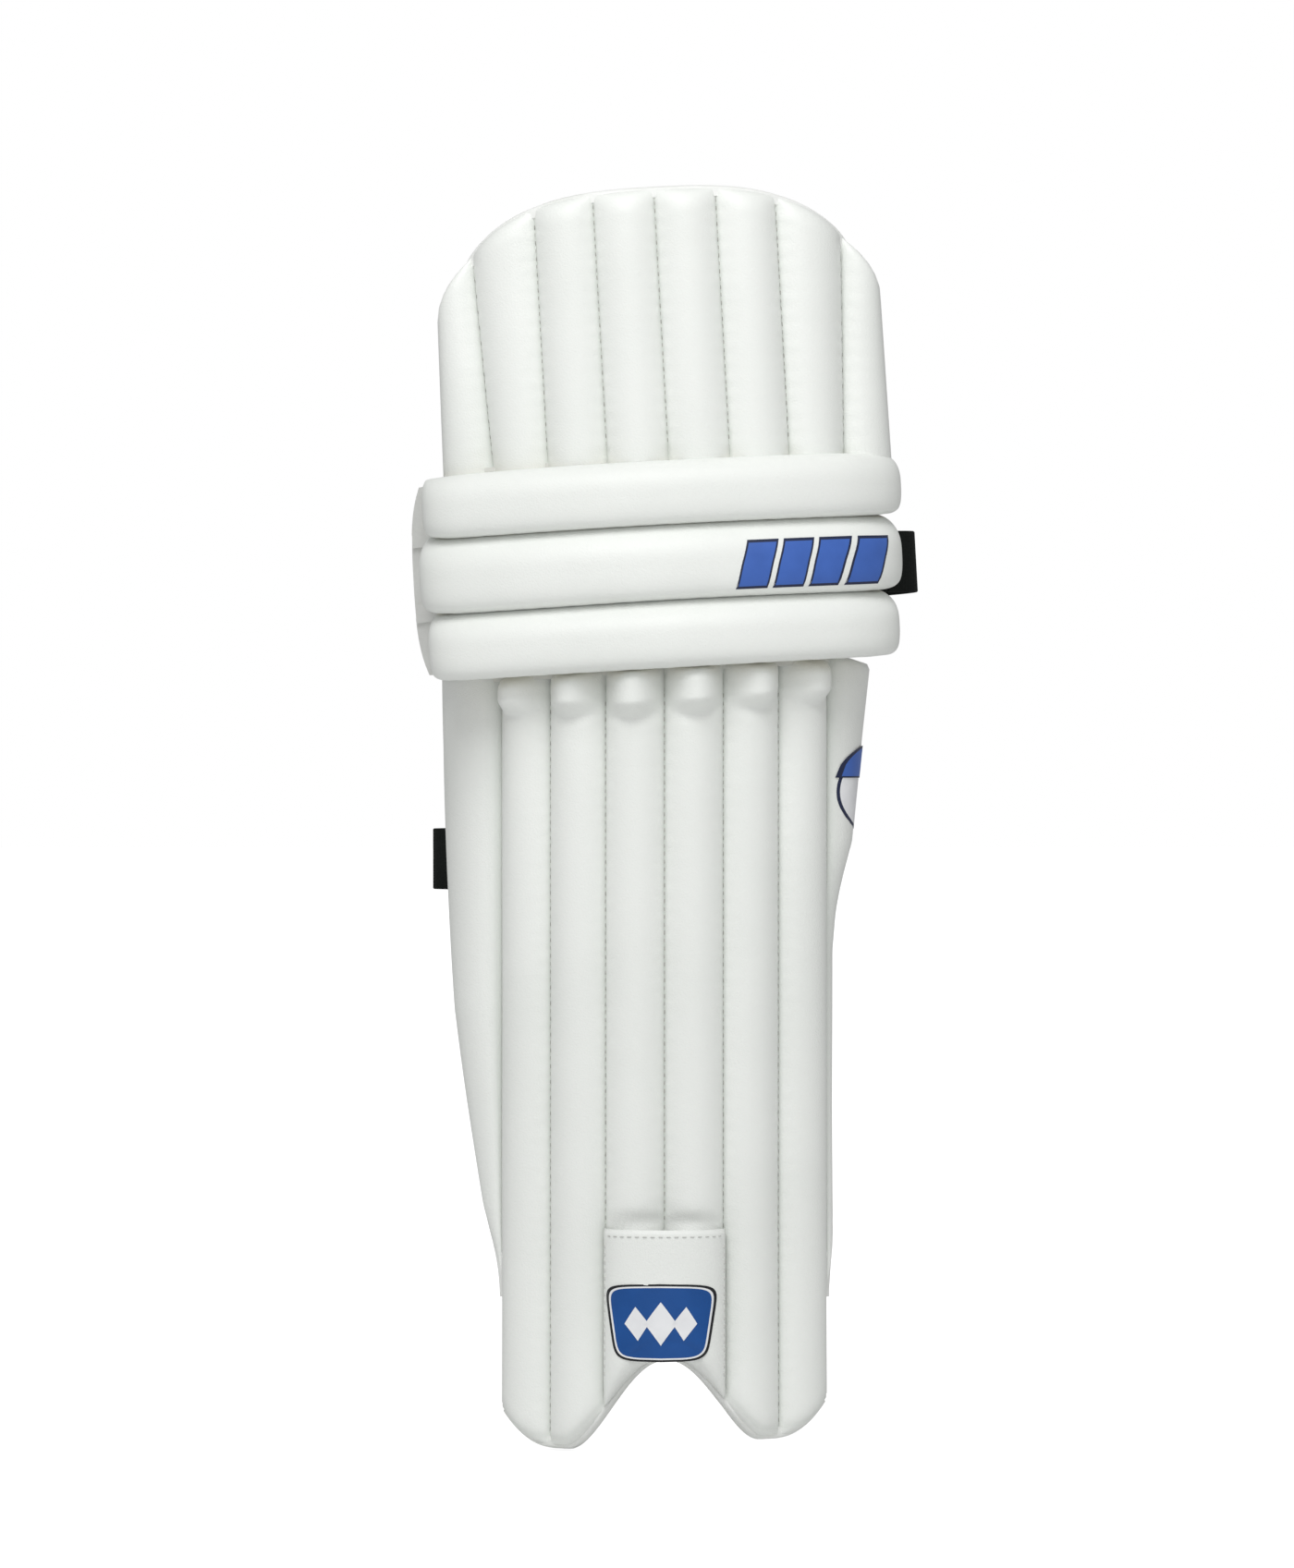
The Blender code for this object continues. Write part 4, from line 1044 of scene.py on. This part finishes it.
def badge_point(x, y, lift):
    """x, y in -1 to 1 inside the badge: a block wider at its top, its edges bowed outwards."""
    height = BADGE_LOW + (y * 0.5 + 0.5) * (BADGE_HIGH - BADGE_LOW)
    height = height + 0.0012 * (1 - x * x) * y
    half = BADGE_HALF[0] + (y * 0.5 + 0.5) * (BADGE_HALF[1] - BADGE_HALF[0])
    arc = x * half - 0.0018
    rise = np.maximum(height - shin_low(arc) - 0.0004, 0.010)
    return on_shin(arc, height, patch_lift(arc, rise) + 0.0011 + lift)


def plate(name, outline, centre, bands, lift, place, body, rings=26):
    """A thin printed plate on a curved surface. bands: (share of the outline, material) outwards."""
    outline, middle = np.array(outline), np.array(centre)
    shares = np.unique(np.concatenate((np.linspace(0.03, 1, rings), [share for share, _ in bands])))
    flat = middle + shares[:, None, None] * (outline - middle)[None]
    count, total = len(outline), len(shares)
    faces, inks = [], []
    index = np.arange(total * count).reshape(total, count)
    under = total * count
    for k in range(total - 1):
        ink = next(n for n, band in enumerate(bands) if shares[k + 1] <= band[0] + 1e-9)
        for j in range(count):
            n = (j + 1) % count
            quad = (index[k, j], index[k, n], index[k + 1, n], index[k + 1, j])
            faces += [tuple(int(v) for v in quad), tuple(int(v) + under for v in quad[::-1])]
            inks += [ink, ink]
    for j in range(count):
        n = (j + 1) % count
        faces.append(tuple(int(v) for v in (index[-1, j], index[-1, n], index[-1, n] + under,
                                            index[-1, j] + under)))
        inks.append(len(bands) - 1)
    faces += [tuple(index[0].tolist()), tuple((index[0] + under)[::-1].tolist())]
    inks += [0, 0]
    layers = [place(flat[..., 0], flat[..., 1], lift), place(flat[..., 0], flat[..., 1], lift - 0.0003)]
    vertices = np.concatenate([layer.reshape(-1, 3) for layer in layers]).tolist()
    piece = soft_object(name, vertices, faces, bands[0][1], body)
    for _, material in bands[1:]:
        piece.data.materials.append(material)
    piece.data.polygons.foreach_set("material_index", inks)
    return piece


def rounded_block(power=7.0, count=96):
    """Outline of a block with well rounded corners, from -1 to 1 each way."""
    turns = np.arange(count) * 2 * math.pi / count
    x = np.sign(np.cos(turns)) * np.abs(np.cos(turns)) ** (2 / power)
    y = np.sign(np.sin(turns)) * np.abs(np.sin(turns)) ** (2 / power)
    return np.stack((x, y), axis=1)


badge = plate("badge_plate", rounded_block(), (0, 0),
              ((0.905, badge_blue), (0.945, badge_white), (1.0, badge_dark)), 0.0004, badge_point, "shin")
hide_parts("instep_badge")


def box_outline(x0, x1, y0, y1, steps=8):
    """A rectangle's outline with points along each side."""
    t = np.linspace(0, 1, steps, endpoint=False)
    bottom = np.stack((x0 + (x1 - x0) * t, y0 + 0 * t), axis=1)
    right = np.stack((x1 + 0 * t, y0 + (y1 - y0) * t), axis=1)
    top = np.stack((x1 - (x1 - x0) * t, y1 + 0 * t), axis=1)
    left = np.stack((x0 + 0 * t, y1 - (y1 - y0) * t), axis=1)
    return np.concatenate((bottom, right, top, left))


# the device: a row of three lozenges, the middle one larger
for k, (x, wide, tall) in enumerate(((-0.45, 0.23, 0.44), (0.0, 0.30, 0.56), (0.45, 0.23, 0.44))):
    corners = np.array([(wide, 0), (0, tall), (-wide, 0), (0, -tall), (wide, 0)])
    edge = np.concatenate([corners[n] + (corners[n + 1] - corners[n]) * np.linspace(0, 1, 8)[:-1, None]
                           for n in range(4)])
    plate(f"badge_lozenge_{k + 1}", edge + np.array((x, -0.02)), (x, -0.02), ((1.0, badge_white),),
          0.0007, badge_point, "shin", rings=10)

low = float(shin_low(np.array(PATCH_HALF)))
across = np.linspace(-0.030, 0.030, 60)
runs = [run_on(on_shin, across, PATCH_TOP - 0.0035, patch_lift(across, 0.05) + 0.0011)]
for side in (-1, 1):
    z = np.linspace(low + 0.010, PATCH_TOP - 0.004, 60)
    runs.append(run_on(on_shin, side * 0.0302 + 0 * z, z, patch_lift(0.0302, z - low) + 0.0011))
sew("patch_stitches", runs, white_thread, "shin")


# ---- Printed marks ----------------------------------------------------------------------------
# Screen-printed ink on the leathercloth: slanting bars towards the right of the middle knee roll,
# and a round spot with a solid cap on the inner wing. Both are plain shapes, with no lettering.

roll_blue = print_material("roll_print_blue", (0.050, 0.130, 0.46), 0.45)
roll_dark = print_material("roll_print_outline", (0.015, 0.022, 0.060), 0.42)


def on_middle_roll(arc, step, lift):
    arc, step = np.broadcast_arrays(arc, step)
    face, _ = roll_face(arc, step, 1)
    return on_knee(arc, roll_place(1, arc, step, face), face + lift)


BAR_LOW, BAR_HIGH, BAR_SLANT = -0.60, 0.54, 0.0060
BAR_HALF = 0.0078
BAR_FIRST, BAR_PITCH = 0.0495, 0.0182
for k in range(4):
    middle = BAR_FIRST + k * BAR_PITCH
    outline = box_outline(-BAR_HALF, BAR_HALF, BAR_LOW, BAR_HIGH)
    outline = outline + np.stack((outline[:, 1] * BAR_SLANT + middle, 0 * outline[:, 1]), axis=1)
    plate(f"roll_print_bar_{k + 1}", outline, (middle, (BAR_LOW + BAR_HIGH) / 2),
          ((0.88, roll_blue), (1.0, roll_dark)), 0.0002, on_middle_roll, "knee_roll_middle", rings=12)


SPOT_SHARE = 0.385
SPOT_HEIGHT = 0.3590
SPOT_RADIUS = 0.0222
CAP_HALF, CAP_LOW, CAP_TALL = 0.0236, 0.0060, 0.0178


def on_right_wing(a, b, lift):
    """Metres across and up from the middle of the wing's printed spot."""
    a, b = np.broadcast_arrays(a, b)
    z = SPOT_HEIGHT + b
    share = SPOT_SHARE + a / wing_width(z)
    face = wing_face(1, share, z, shin_high(SHIN_EDGE + share * wing_width(SHIN_TOP)) - z)
    return on_shin(WING_START + share * wing_width(z), z, face + lift)


turns = np.arange(64) * 2 * math.pi / 64
ring = np.stack((np.cos(turns), np.sin(turns)), axis=1)
across = np.linspace(-1, 1, 25)
upper = np.stack((CAP_HALF * across[::-1], CAP_LOW + CAP_TALL * np.sqrt(1 - across ** 2)), axis=1)
lower = np.stack((CAP_HALF * across[1:-1], CAP_LOW + 0.0 * across[1:-1]), axis=1)
plate("wing_print_spot", ring * SPOT_RADIUS, (0, 0), ((0.93, badge_white), (1.0, roll_dark)), 0.0002,
      on_right_wing, "shin")
plate("wing_print_pennant", np.concatenate((upper, lower)), (0, 0.013),
      ((0.88, roll_blue), (1.0, roll_dark)), 0.0007, on_right_wing, "shin")


# ---- Straps -----------------------------------------------------------------------------------
# Black nylon webbing, 34 mm wide. Each long strap is sewn to one side of the pad, goes round the
# back of the leg and closes with hook tape on the loop tape of a short strap from the other side.

black_webbing = finish_material("black_webbing", weave,
                                {"Clean": (0.0045, 0.0065, 0.0055, 1), "Soiled": (0.010, 0.013, 0.011, 1),
                                 "Threads": 380.0, "Rough": 0.72}, 0.9, 0.0006, 0.0, 0.12)
hook_tape = finish_material("hook_tape", weave,
                            {"Clean": (0.012, 0.012, 0.013, 1), "Soiled": (0.03, 0.03, 0.032, 1),
                             "Threads": 330.0, "Rough": 0.7}, 1.0, 0.0012, 0.0, 0.2)
loop_tape = finish_material("loop_tape", weave,
                            {"Clean": (0.016, 0.016, 0.017, 1), "Soiled": (0.035, 0.035, 0.037, 1),
                             "Threads": 900.0, "Rough": 0.85}, 1.0, 0.0010, 0.15, 0.1)

# widths are given as halves; distances are off the route, outwards from the leg
STRAP_HALF = 0.0170
TAPE_HALF = 0.0150
TAB_HALF = 0.0166
WEBBING_THICK = 0.0018
HOOK_LAYER = (-0.0014, -0.0001)
LOOP_LAYER = (-0.0029, -0.0016)
SHORT_STRAP_LAYER = (-0.0049, -0.0030)
TAB_ARCS = np.array([0.1392, 0.1410, 0.1426])
ROUTES = {
    "knee": ((0.1272, 0.0600), (0.1440, 0.0860), (0.1330, 0.1180), (0.0960, 0.1480),
             (0.0450, 0.1620), (0.0000, 0.1640), (-0.0500, 0.1600), (-0.0930, 0.1400),
             (-0.1170, 0.1100), (-0.1250, 0.0740)),
    "calf": ((-0.1194, 0.0880), (-0.1278, 0.1040), (-0.1190, 0.1320), (-0.0890, 0.1540),
             (-0.0450, 0.1640), (0.0000, 0.1650), (0.0400, 0.1600), (0.0720, 0.1450),
             (0.0890, 0.1200), (0.0915, 0.1010)),
    "ankle": ((-0.0840, 0.0580), (-0.0860, 0.0780), (-0.0790, 0.1060), (-0.0600, 0.1260),
              (-0.0300, 0.1360), (0.0000, 0.1370), (0.0300, 0.1340), (0.0590, 0.1210),
              (0.0760, 0.0960), (0.0800, 0.0660)),
}
STRAP_HEIGHTS = {"knee": 0.0505, "calf": 0.3196, "ankle": 0.1450}
STRAP_BODIES = {"knee": "knee_roll_middle", "calf": "shin", "ankle": "shin"}


def smooth_route(points, per_span=20):
    """Catmull-Rom curve through the route's points."""
    p = np.array(points)
    p = np.concatenate(([2 * p[0] - p[1]], p, [2 * p[-1] - p[-2]]))
    t = np.arange(per_span)[:, None] / per_span
    spans = []
    for k in range(len(points) - 1):
        a, b, c, d = p[k:k + 4]
        spans.append(0.5 * (2 * b + (c - a) * t + (2 * a - 5 * b + 4 * c - d) * t ** 2
                            + (3 * b - a - 3 * c + d) * t ** 3))
    return np.concatenate(spans + [p[-2:-1]])


def webbing(name, route, first, last, near, far, half, place, material, body, slot):
    """A flat band between two distances outside a route; first and last count its quarter steps."""
    tangent = np.gradient(route, axis=0)
    outward = np.stack((tangent[:, 1], -tangent[:, 0]), axis=1)
    outward /= np.linalg.norm(outward, axis=1, keepdims=True)
    if np.sum(outward[len(route) // 2] * (route[len(route) // 2] - np.array([0, 0.07]))) < 0:
        outward = -outward
    part = slice(first * 4, last * 4 + 1)
    low, high = (route + outward * near)[part], (route + outward * far)[part]
    soft = min(0.0005, (far - near) * 0.4)
    inner, outer = (route + outward * (near + soft))[part], (route + outward * (far - soft))[part]
    rings = [place(low, -half + soft), place(inner, -half), place(outer, -half),
             place(high, -half + soft), place(high, half - soft), place(outer, half),
             place(inner, half), place(low, half - soft)]
    piece = loft(name, np.stack(rings, axis=1), material, body)
    return piece


for label, points in ROUTES.items():
    route = smooth_route(points)
    height = STRAP_HEIGHTS[label]
    if label == "knee":
        def place(p, up, height=height):
            return on_tilted(p[:, 0], p[:, 1], height + up, KNEE_ORIGIN)
    else:
        def place(p, up, height=height):
            return np.stack((p[:, 0], p[:, 1], height + up + 0 * p[:, 0]), axis=1)
    moving, fixed = f"{label}_strap", STRAP_BODIES[label]
    strap = webbing(f"{label}_webbing", route, 0, 33, 0.0, WEBBING_THICK, STRAP_HALF, place,
                    black_webbing, moving, "webbing")
    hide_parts(f"{label}_strap")
    hook = webbing(f"{label}_hook_tape", route, 25, 32, *HOOK_LAYER, TAPE_HALF, place, hook_tape,
                   moving, "hook")
    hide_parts(f"{label}_hook_patch")
    loop = webbing(f"{label}_loop_tape", route, 25, 36, *LOOP_LAYER, TAPE_HALF, place, loop_tape,
                   fixed, "loop")
    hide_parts(f"{label}_loop_patch")
    if label == "knee":
        x, y = knee_plan(TAB_ARCS, 0.0012)
        tab = np.concatenate((np.stack((x, y), axis=1), [(0.1254, 0.0588), points[0]]))
        webbing("knee_sewn_tab", smooth_route(tab), 0, 19, 0.0, WEBBING_THICK, TAB_HALF, place,
                black_webbing, fixed, "webbing")
    short = webbing(f"{label}_short_webbing", route, 24, 45, *SHORT_STRAP_LAYER, STRAP_HALF, place,
                    black_webbing, fixed, "webbing")
    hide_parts(f"{label}_loop_strap")


# ---- Stuffing ---------------------------------------------------------------------------------
# What the covers hide: cane rods in the channels, foam in the rolls, wings and channel heads, and
# cotton wadding behind. Canes and foam follow the covers closely; the wadding keeps its plain shape.

def cane_material():
    """Split cane: long pale fibres with darker joints."""
    material, nodes, link, shader = blank_material("split_cane")
    place = nodes.new("ShaderNodeTexCoord")
    stretch = nodes.new("ShaderNodeMapping")
    stretch.inputs["Scale"].default_value = (420.0, 420.0, 6.0)
    link(place.outputs["Object"], stretch.inputs["Vector"])
    fibre = nodes.new("ShaderNodeTexNoise")
    fibre.inputs["Scale"].default_value = 1.0
    fibre.inputs["Detail"].default_value = 6.0
    link(stretch.outputs["Vector"], fibre.inputs["Vector"])
    tint = colour_mix(nodes, link, fibre.outputs["Fac"], (0.36, 0.22, 0.10, 1), (0.66, 0.49, 0.28, 1))
    link(tint, shader.inputs["Base Color"])
    shader.inputs["Roughness"].default_value = 0.5
    raise_surface(nodes, link, shader, fibre.outputs["Fac"], 0.4, 0.0005)
    return material


split_cane = cane_material()
cotton = finish_material("cotton_wadding", leathercloth,
                         {"Clean": (0.80, 0.77, 0.70, 1), "Soiled": (0.62, 0.58, 0.50, 1),
                          "Grain": 260.0}, 1.0, 0.0020, 0.5)
dense_foam = finish_material("dense_foam", leathercloth,
                             {"Clean": (0.76, 0.73, 0.62, 1), "Soiled": (0.60, 0.56, 0.45, 1),
                              "Grain": 700.0}, 1.0, 0.0010)
CANE_RADIUS = 0.0033
CANE_LIFT = 0.0044
UNDER_COVER = 0.0020


def rod(name, place, across, along, body):
    """A round cane under a cover, along a list of surface places, its ends rounded over."""
    rings = []
    reach = np.abs(along - along[0])
    reach = np.minimum(reach, reach[::-1])
    thin = CANE_RADIUS * np.sqrt(np.maximum(0.04, 1 - (1 - np.minimum(reach / CANE_RADIUS, 1)) ** 2))
    for k in range(12):
        turn = k * math.pi / 6
        rings.append(place(across + thin * math.sin(turn), along, CANE_LIFT + thin * math.cos(turn)))
    piece = loft(name, np.stack(rings, axis=1), split_cane, body)
    return piece


def rod_stations(low, high):
    ends = np.array([0.0, 0.0006, 0.0015, 0.0028])
    return np.concatenate((low + ends, np.linspace(low + 0.006, high - 0.006, 24), high - ends[::-1]))


for k in range(6):
    arc = (k + 0.5) * SHIN_PITCH - SHIN_EDGE
    low, high = float(shin_low(np.array(arc))), float(shin_high(np.array(arc)))
    foot = low + 0.015 if k not in (2, 3) else PATCH_TOP + 0.015
    cane = rod(f"cane_rod_{k + 1}", on_shin, arc, rod_stations(foot, high - 0.031), "shin")
    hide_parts(f"shin_cane_{k + 1}")
    arcs = (arc + np.linspace(-0.88, 0.88, 25) * SHIN_PITCH / 2)[None, :]
    z = np.linspace(high - 0.026, high - 0.006, 20)[:, None]
    face, _ = shin_face(arcs, z)
    pad = shell(f"knuckle_foam_{k + 1}", on_shin(arcs, z, np.maximum(face - UNDER_COVER, 0.0016)),
                on_shin(arcs, z, 0.0009), dense_foam, "shin")
    declare(f"knuckle_pad_{k + 1}")

for k in range(8):
    q = k - 3.5
    v = rod_stations(0.012, float(hat_high(np.array(q))) - 0.014)
    cane = rod(f"top_hat_cane_rod_{k + 1}", on_hat, hat_arc(np.full_like(v, q), v), v, "top_hat")
    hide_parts(f"top_hat_cane_{k + 1}")

for index, label in enumerate(ROLL_LABELS):
    arcs = roll_arcs(index)[:, 4:-4]
    steps = roll_steps[3:-3]
    face, _ = roll_face(arcs, steps, index)
    height = roll_place(index, arcs, steps, face)
    core = shell(f"knee_roll_foam_{label}", on_knee(arcs, height, np.maximum(face - UNDER_COVER, 0.0020)),
                 on_knee(arcs, roll_place(index, arcs, steps), 0.0008), dense_foam, f"knee_roll_{label}")
    declare(f"knee_roll_core_{label}")

for side, label in SIDES:
    shares, rows = np.linspace(0.10, 0.90, 21)[None, :], np.linspace(0.13, 0.965, 60)[:, None]
    core = shell(f"wing_foam_sheet_{label}",
                 wing_grid(side, shares, rows,
                           lambda s, z, b: np.maximum(wing_face(side, s, z, b) - 0.0019, 0.0006)),
                 wing_grid(side, shares, rows, lambda s, z, b: 0.0001 + 0.0 * z), dense_foam, "shin")
    declare(f"wing_foam_{label}")

for name, node in frame["nodes"].items():
    if node.hide_render:
        continue
    node.data.materials.clear()
    node.data.materials.append(cotton if "wadding" in name else dense_foam)


# ---- Floor, light and camera ------------------------------------------------------------------
# A plain white floor running out of sight, white all round, a wide soft light above the front, a
# weaker one further down, and a long lens straight in front. Floor and surround look whiter to the
# lens than the light they give.

FRAME_HEIGHT = 0.8527
CAMERA_DISTANCE = 3.2
SENSOR = 36.0
CENTRE = Vector((-0.0095, 0.0, 0.3615))
FLOOR_REACH = 30
FLOOR_GLOW = 0.80
SURROUND_LIGHT = 0.42

floor_z = min(0.0, cad_box[0].z) - 0.0015
floor_mesh = bpy.data.meshes.new("studio_floor")
corners = ((-FLOOR_REACH, -FLOOR_REACH), (FLOOR_REACH, -FLOOR_REACH),
           (FLOOR_REACH, FLOOR_REACH), (-FLOOR_REACH, FLOOR_REACH))
floor_mesh.from_pydata([(x, y, floor_z) for x, y in corners], [], [(0, 1, 2, 3)])
paper, paper_nodes, paper_link, paper_shader = blank_material("white_paper")
paper_shader.inputs["Base Color"].default_value = (0.88, 0.88, 0.88, 1)
paper_shader.inputs["Roughness"].default_value = 0.9
paper_shader.inputs["Specular IOR Level"].default_value = 0.0
paper_shader.inputs["Emission Color"].default_value = (1, 1, 1, 1)
paper_path = paper_nodes.new("ShaderNodeLightPath")
glow = paper_nodes.new("ShaderNodeMath")
glow.operation = "MULTIPLY"
glow.inputs[1].default_value = FLOOR_GLOW
paper_link(paper_path.outputs["Is Camera Ray"], glow.inputs[0])
paper_link(glow.outputs["Value"], paper_shader.inputs["Emission Strength"])
floor_mesh.materials.append(paper)
studio_floor = bpy.data.objects.new("studio_floor", floor_mesh)
bpy.context.scene.collection.objects.link(studio_floor)


def soft_light(name, where, target, size, power):
    lamp = bpy.data.lights.new(name, "AREA")
    lamp.shape = "DISK"
    lamp.size = size
    lamp.energy = power
    holder = bpy.data.objects.new(name, lamp)
    holder.location = where
    holder.rotation_euler = (Vector(target) - Vector(where)).to_track_quat("-Z", "Y").to_euler()
    bpy.context.scene.collection.objects.link(holder)


soft_light("key_light", (-0.20, -1.20, 1.85), (0.0, 0.0, 0.52), 1.1, 19.0)
soft_light("fill_light", (0.05, -1.60, 1.05), (0.0, 0.0, 0.60), 1.3, 4.4)

world = bpy.data.worlds.new("studio")
world.use_nodes = True
surround = world.node_tree.nodes["Background"]
surround.inputs["Color"].default_value = (1.0, 1.0, 1.0, 1)
world_nodes, world_link = world.node_tree.nodes, world.node_tree.links.new
world_path = world_nodes.new("ShaderNodeLightPath")
strength = ranged(world_nodes, world_link, world_path.outputs["Is Camera Ray"],
                  {"To Min": SURROUND_LIGHT, "To Max": 1.0})
world_link(strength, surround.inputs["Strength"])
bpy.context.scene.world = world
bpy.context.scene.view_settings.view_transform = "Standard"

camera_data = bpy.data.cameras.new("camera")
camera_data.sensor_width = SENSOR
camera_data.lens = SENSOR * CAMERA_DISTANCE / FRAME_HEIGHT
camera = bpy.data.objects.new("camera", camera_data)
camera.location = CENTRE + Vector((0.0, -CAMERA_DISTANCE, 0.0))
camera.rotation_euler = (math.radians(90), 0.0, 0.0)
bpy.context.scene.collection.objects.link(camera)
bpy.context.scene.camera = camera
